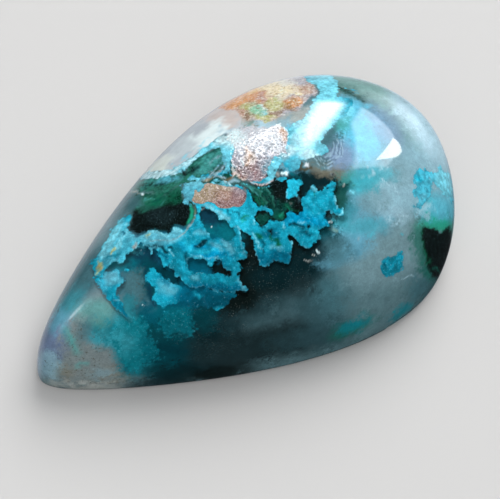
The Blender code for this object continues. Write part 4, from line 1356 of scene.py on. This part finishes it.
# What the polish mirrors: panes by their corners, each an azimuth and an elevation
WINDOW = [(122, 26), (88, 35), (79, 46), (90, 58), (121, 40)]
STRIP = [(138, 22), (128, 25), (129, 40), (129, 53), (132, 56), (139, 41)]
CORNER = [(88, 49), (98, 34.5), (93, 33), (87, 34), (84.3, 37.5), (84.8, 42)]
PANES = [(WINDOW, 0.02, 4.6), (STRIP, 0.04, 12), (STRIP, 0.10, 5)]  # each with its softness and radiance
CORNER_SOFTNESS, CORNER_RADIANCE = 0.01, 11  # the window's warm bright corner
# A wide sheen along the round end
GLOW_AZIMUTH, GLOW_ELEVATION = 107, 8
GLOW_WIDTH, GLOW_HEIGHT = 0.27, 0.21
GLOW_REACH = 2  # it ends at this many times its width and height
GLOW_SIDE = (0.0, 0.3)  # and comes in on its own side of the sky
GLOW_FALL, GLOW_RADIANCE = 3, 2.7
# A soft highlight by the tip: the cosine of the angle at which each part of it ends, and its radiance
TIP_AZIMUTH, TIP_ELEVATION = -140, 37
TIP_LIGHTS = [(0.988, 5), (0.88, 1.2)]
# The lit floor: azimuth, how it comes in towards there and downwards, and radiance
LIT_FLOOR = [(AZIMUTH + 225, (0.1, 0.5), (0.25, 0.6), 0.45), (AZIMUTH + 172, (0.62, 0.85), (0.0, 0.2), 0.35)]
HORIZON_NARROWNESS, HORIZON_RADIANCE = 4, 0.03
DARK_RADIANCE = 0.02

MIRRORED_TINT = (0.85, 0.92, 1.0, 1)
CORNER_TINT = (1.0, 0.94, 0.82, 1)
SKY_TINT, SKY_RADIANCE = (0.9, 0.95, 1.0, 1), 0.5
BACKDROP_TINT = (0.8, 0.8, 0.8, 1)

FLOOR_RADIUS, FLOOR_CORNERS = 1.5, 96
FLOOR_COLOUR, FLOOR_ROUGHNESS = (0.47, 0.46, 0.45, 1), 0.8


def toward(azimuth, elevation):
    """The direction of a place round the stone, where azimuth 0 is in front and 90 to the right."""
    turn, lift = math.radians(azimuth), math.radians(elevation)
    return Vector((math.sin(turn) * math.cos(lift), -math.cos(turn) * math.cos(lift), math.sin(lift)))


def make_panel(name, azimuth, elevation, width, height, radiance):
    """A soft light panel that faces the stone."""
    data = bpy.data.lights.new(name, "AREA")
    data.shape = "RECTANGLE"
    data.size = width
    data.size_y = height
    data.energy = radiance * math.pi * width * height
    data.color = WHITE
    light = bpy.data.objects.new(name, data)
    bpy.context.collection.objects.link(light)
    direction = toward(azimuth, elevation)
    turned = direction.to_track_quat("Z", "Y").to_matrix()
    light.matrix_world = Matrix.Translation(direction * PANEL_DISTANCE) @ turned.to_4x4()
    return light


def light_stone():
    """One panel that only the polish mirrors, and two that light the stone and the floor."""
    make_panel("left_pane", *LEFT_PANE).visible_diffuse = False
    make_panel("key", *KEY).visible_glossy = False
    make_panel("fill", *FILL).visible_glossy = False


class Sky:
    """The nodes of the world, and the shapes in it that the polish mirrors."""

    def __init__(self):
        world = bpy.data.worlds.new("studio")
        bpy.context.scene.world = world
        world.use_nodes = True
        self.tree = world.node_tree
        self.direction = add_node(self.tree, "ShaderNodeTexCoord", output="Generated")
        self.rise = self.along((0, 0, 1))

    def along(self, axis):
        inputs = [self.direction, axis]
        return add_node(self.tree, "ShaderNodeVectorMath", {"operation": "DOT_PRODUCT"}, inputs, "Value")

    def pane(self, corners, softness):
        """Where a direction lies inside the corners, each given as azimuth and elevation."""
        centre = sum((toward(*corner) for corner in corners), Vector())
        inside = None
        for first, second in zip(corners, corners[1:] + corners[:1]):
            inward = toward(*first).cross(toward(*second)).normalized()
            if inward.dot(centre) < 0:
                inward.negate()
            side = self.along(inward).ramp(-softness, softness)
            inside = side if inside is None else inside * side
        return inside

    def glow(self):
        """A wide soft sheen along the round end."""
        middle = toward(GLOW_AZIMUTH, GLOW_ELEVATION)
        level = Vector((0, 0, 1)).cross(middle).normalized()
        upright = middle.cross(level)
        spread = (self.along(level) * (1 / GLOW_WIDTH)) ** 2 + (self.along(upright) * (1 / GLOW_HEIGHT)) ** 2
        inside = (1 - spread * (1 / GLOW_REACH**2)).clipped()
        return inside**GLOW_FALL * self.along(middle).ramp(*GLOW_SIDE)

    def mirrored(self):
        """How bright each direction is in a reflection."""
        horizon = (1 - (self.rise * HORIZON_NARROWNESS).size()).clipped()
        gloss = self.glow() * GLOW_RADIANCE + horizon * HORIZON_RADIANCE + DARK_RADIANCE
        for azimuth, around, down, radiance in LIT_FLOOR:
            lit = self.along(toward(azimuth, 0)).ramp(*around) * (-self.rise).ramp(*down)
            gloss = gloss + lit * radiance
        tip = self.along(toward(TIP_AZIMUTH, TIP_ELEVATION))
        for reach, radiance in TIP_LIGHTS:
            gloss = gloss + tip.ramp(reach, 1.0) ** 2 * radiance
        for corners, softness, radiance in PANES:
            gloss = gloss + self.pane(corners, softness) * radiance
        return gloss

    def background(self, tint, strength=1.0):
        return add_node(self.tree, "ShaderNodeBackground", None, {"Color": tint, "Strength": strength})


def make_sky():
    """A world that is pale to the camera, soft to the surfaces, and mostly dark in reflections."""
    sky = Sky()
    corner = sky.background(CORNER_TINT, sky.pane(CORNER, CORNER_SOFTNESS) * CORNER_RADIANCE)
    mirrored = sky.background(MIRRORED_TINT, sky.mirrored())
    mirrored = add_node(sky.tree, "ShaderNodeAddShader", None, [mirrored, corner])
    is_gloss = add_node(sky.tree, "ShaderNodeLightPath", output="Is Glossy Ray")
    is_camera = add_node(sky.tree, "ShaderNodeLightPath", output="Is Camera Ray")
    soft = sky.background(SKY_TINT, SKY_RADIANCE)
    light = add_node(sky.tree, "ShaderNodeMixShader", None, [is_gloss, soft, mirrored])
    light = add_node(sky.tree, "ShaderNodeMixShader", None, [is_camera, light, sky.background(BACKDROP_TINT)])
    sky.tree.links.new(light.socket, sky.tree.nodes["World Output"].inputs["Surface"])


def make_floor():
    deselect_all()
    bpy.ops.mesh.primitive_circle_add(vertices=FLOOR_CORNERS, radius=FLOOR_RADIUS, fill_type="NGON")
    floor = bpy.context.active_object
    floor.name = "floor"
    material = bpy.data.materials.new("floor")
    material.use_nodes = True
    shader = material.node_tree.nodes["Principled BSDF"]
    shader.inputs["Base Color"].default_value = FLOOR_COLOUR
    shader.inputs["Roughness"].default_value = FLOOR_ROUGHNESS
    floor.data.materials.append(material)
    floor.visible_glossy = False


# ---------------------------------------------------------------- making it all

stone = make_stone()
drawing = Drawing(stone.data)
lay_copper(drawing)
lay_shapes(drawing)
lay_colours(drawing)
deselect_all()
stone.select_set(True)
bpy.ops.object.shade_smooth_by_angle(angle=SMOOTH_ANGLE)
stone.data.materials.clear()
stone.data.materials.append(stone_material())
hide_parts("cabochon")
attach(stone, "root")

light_stone()
make_sky()
make_floor()
make_camera()
bpy.context.scene.view_settings.view_transform = "Standard"
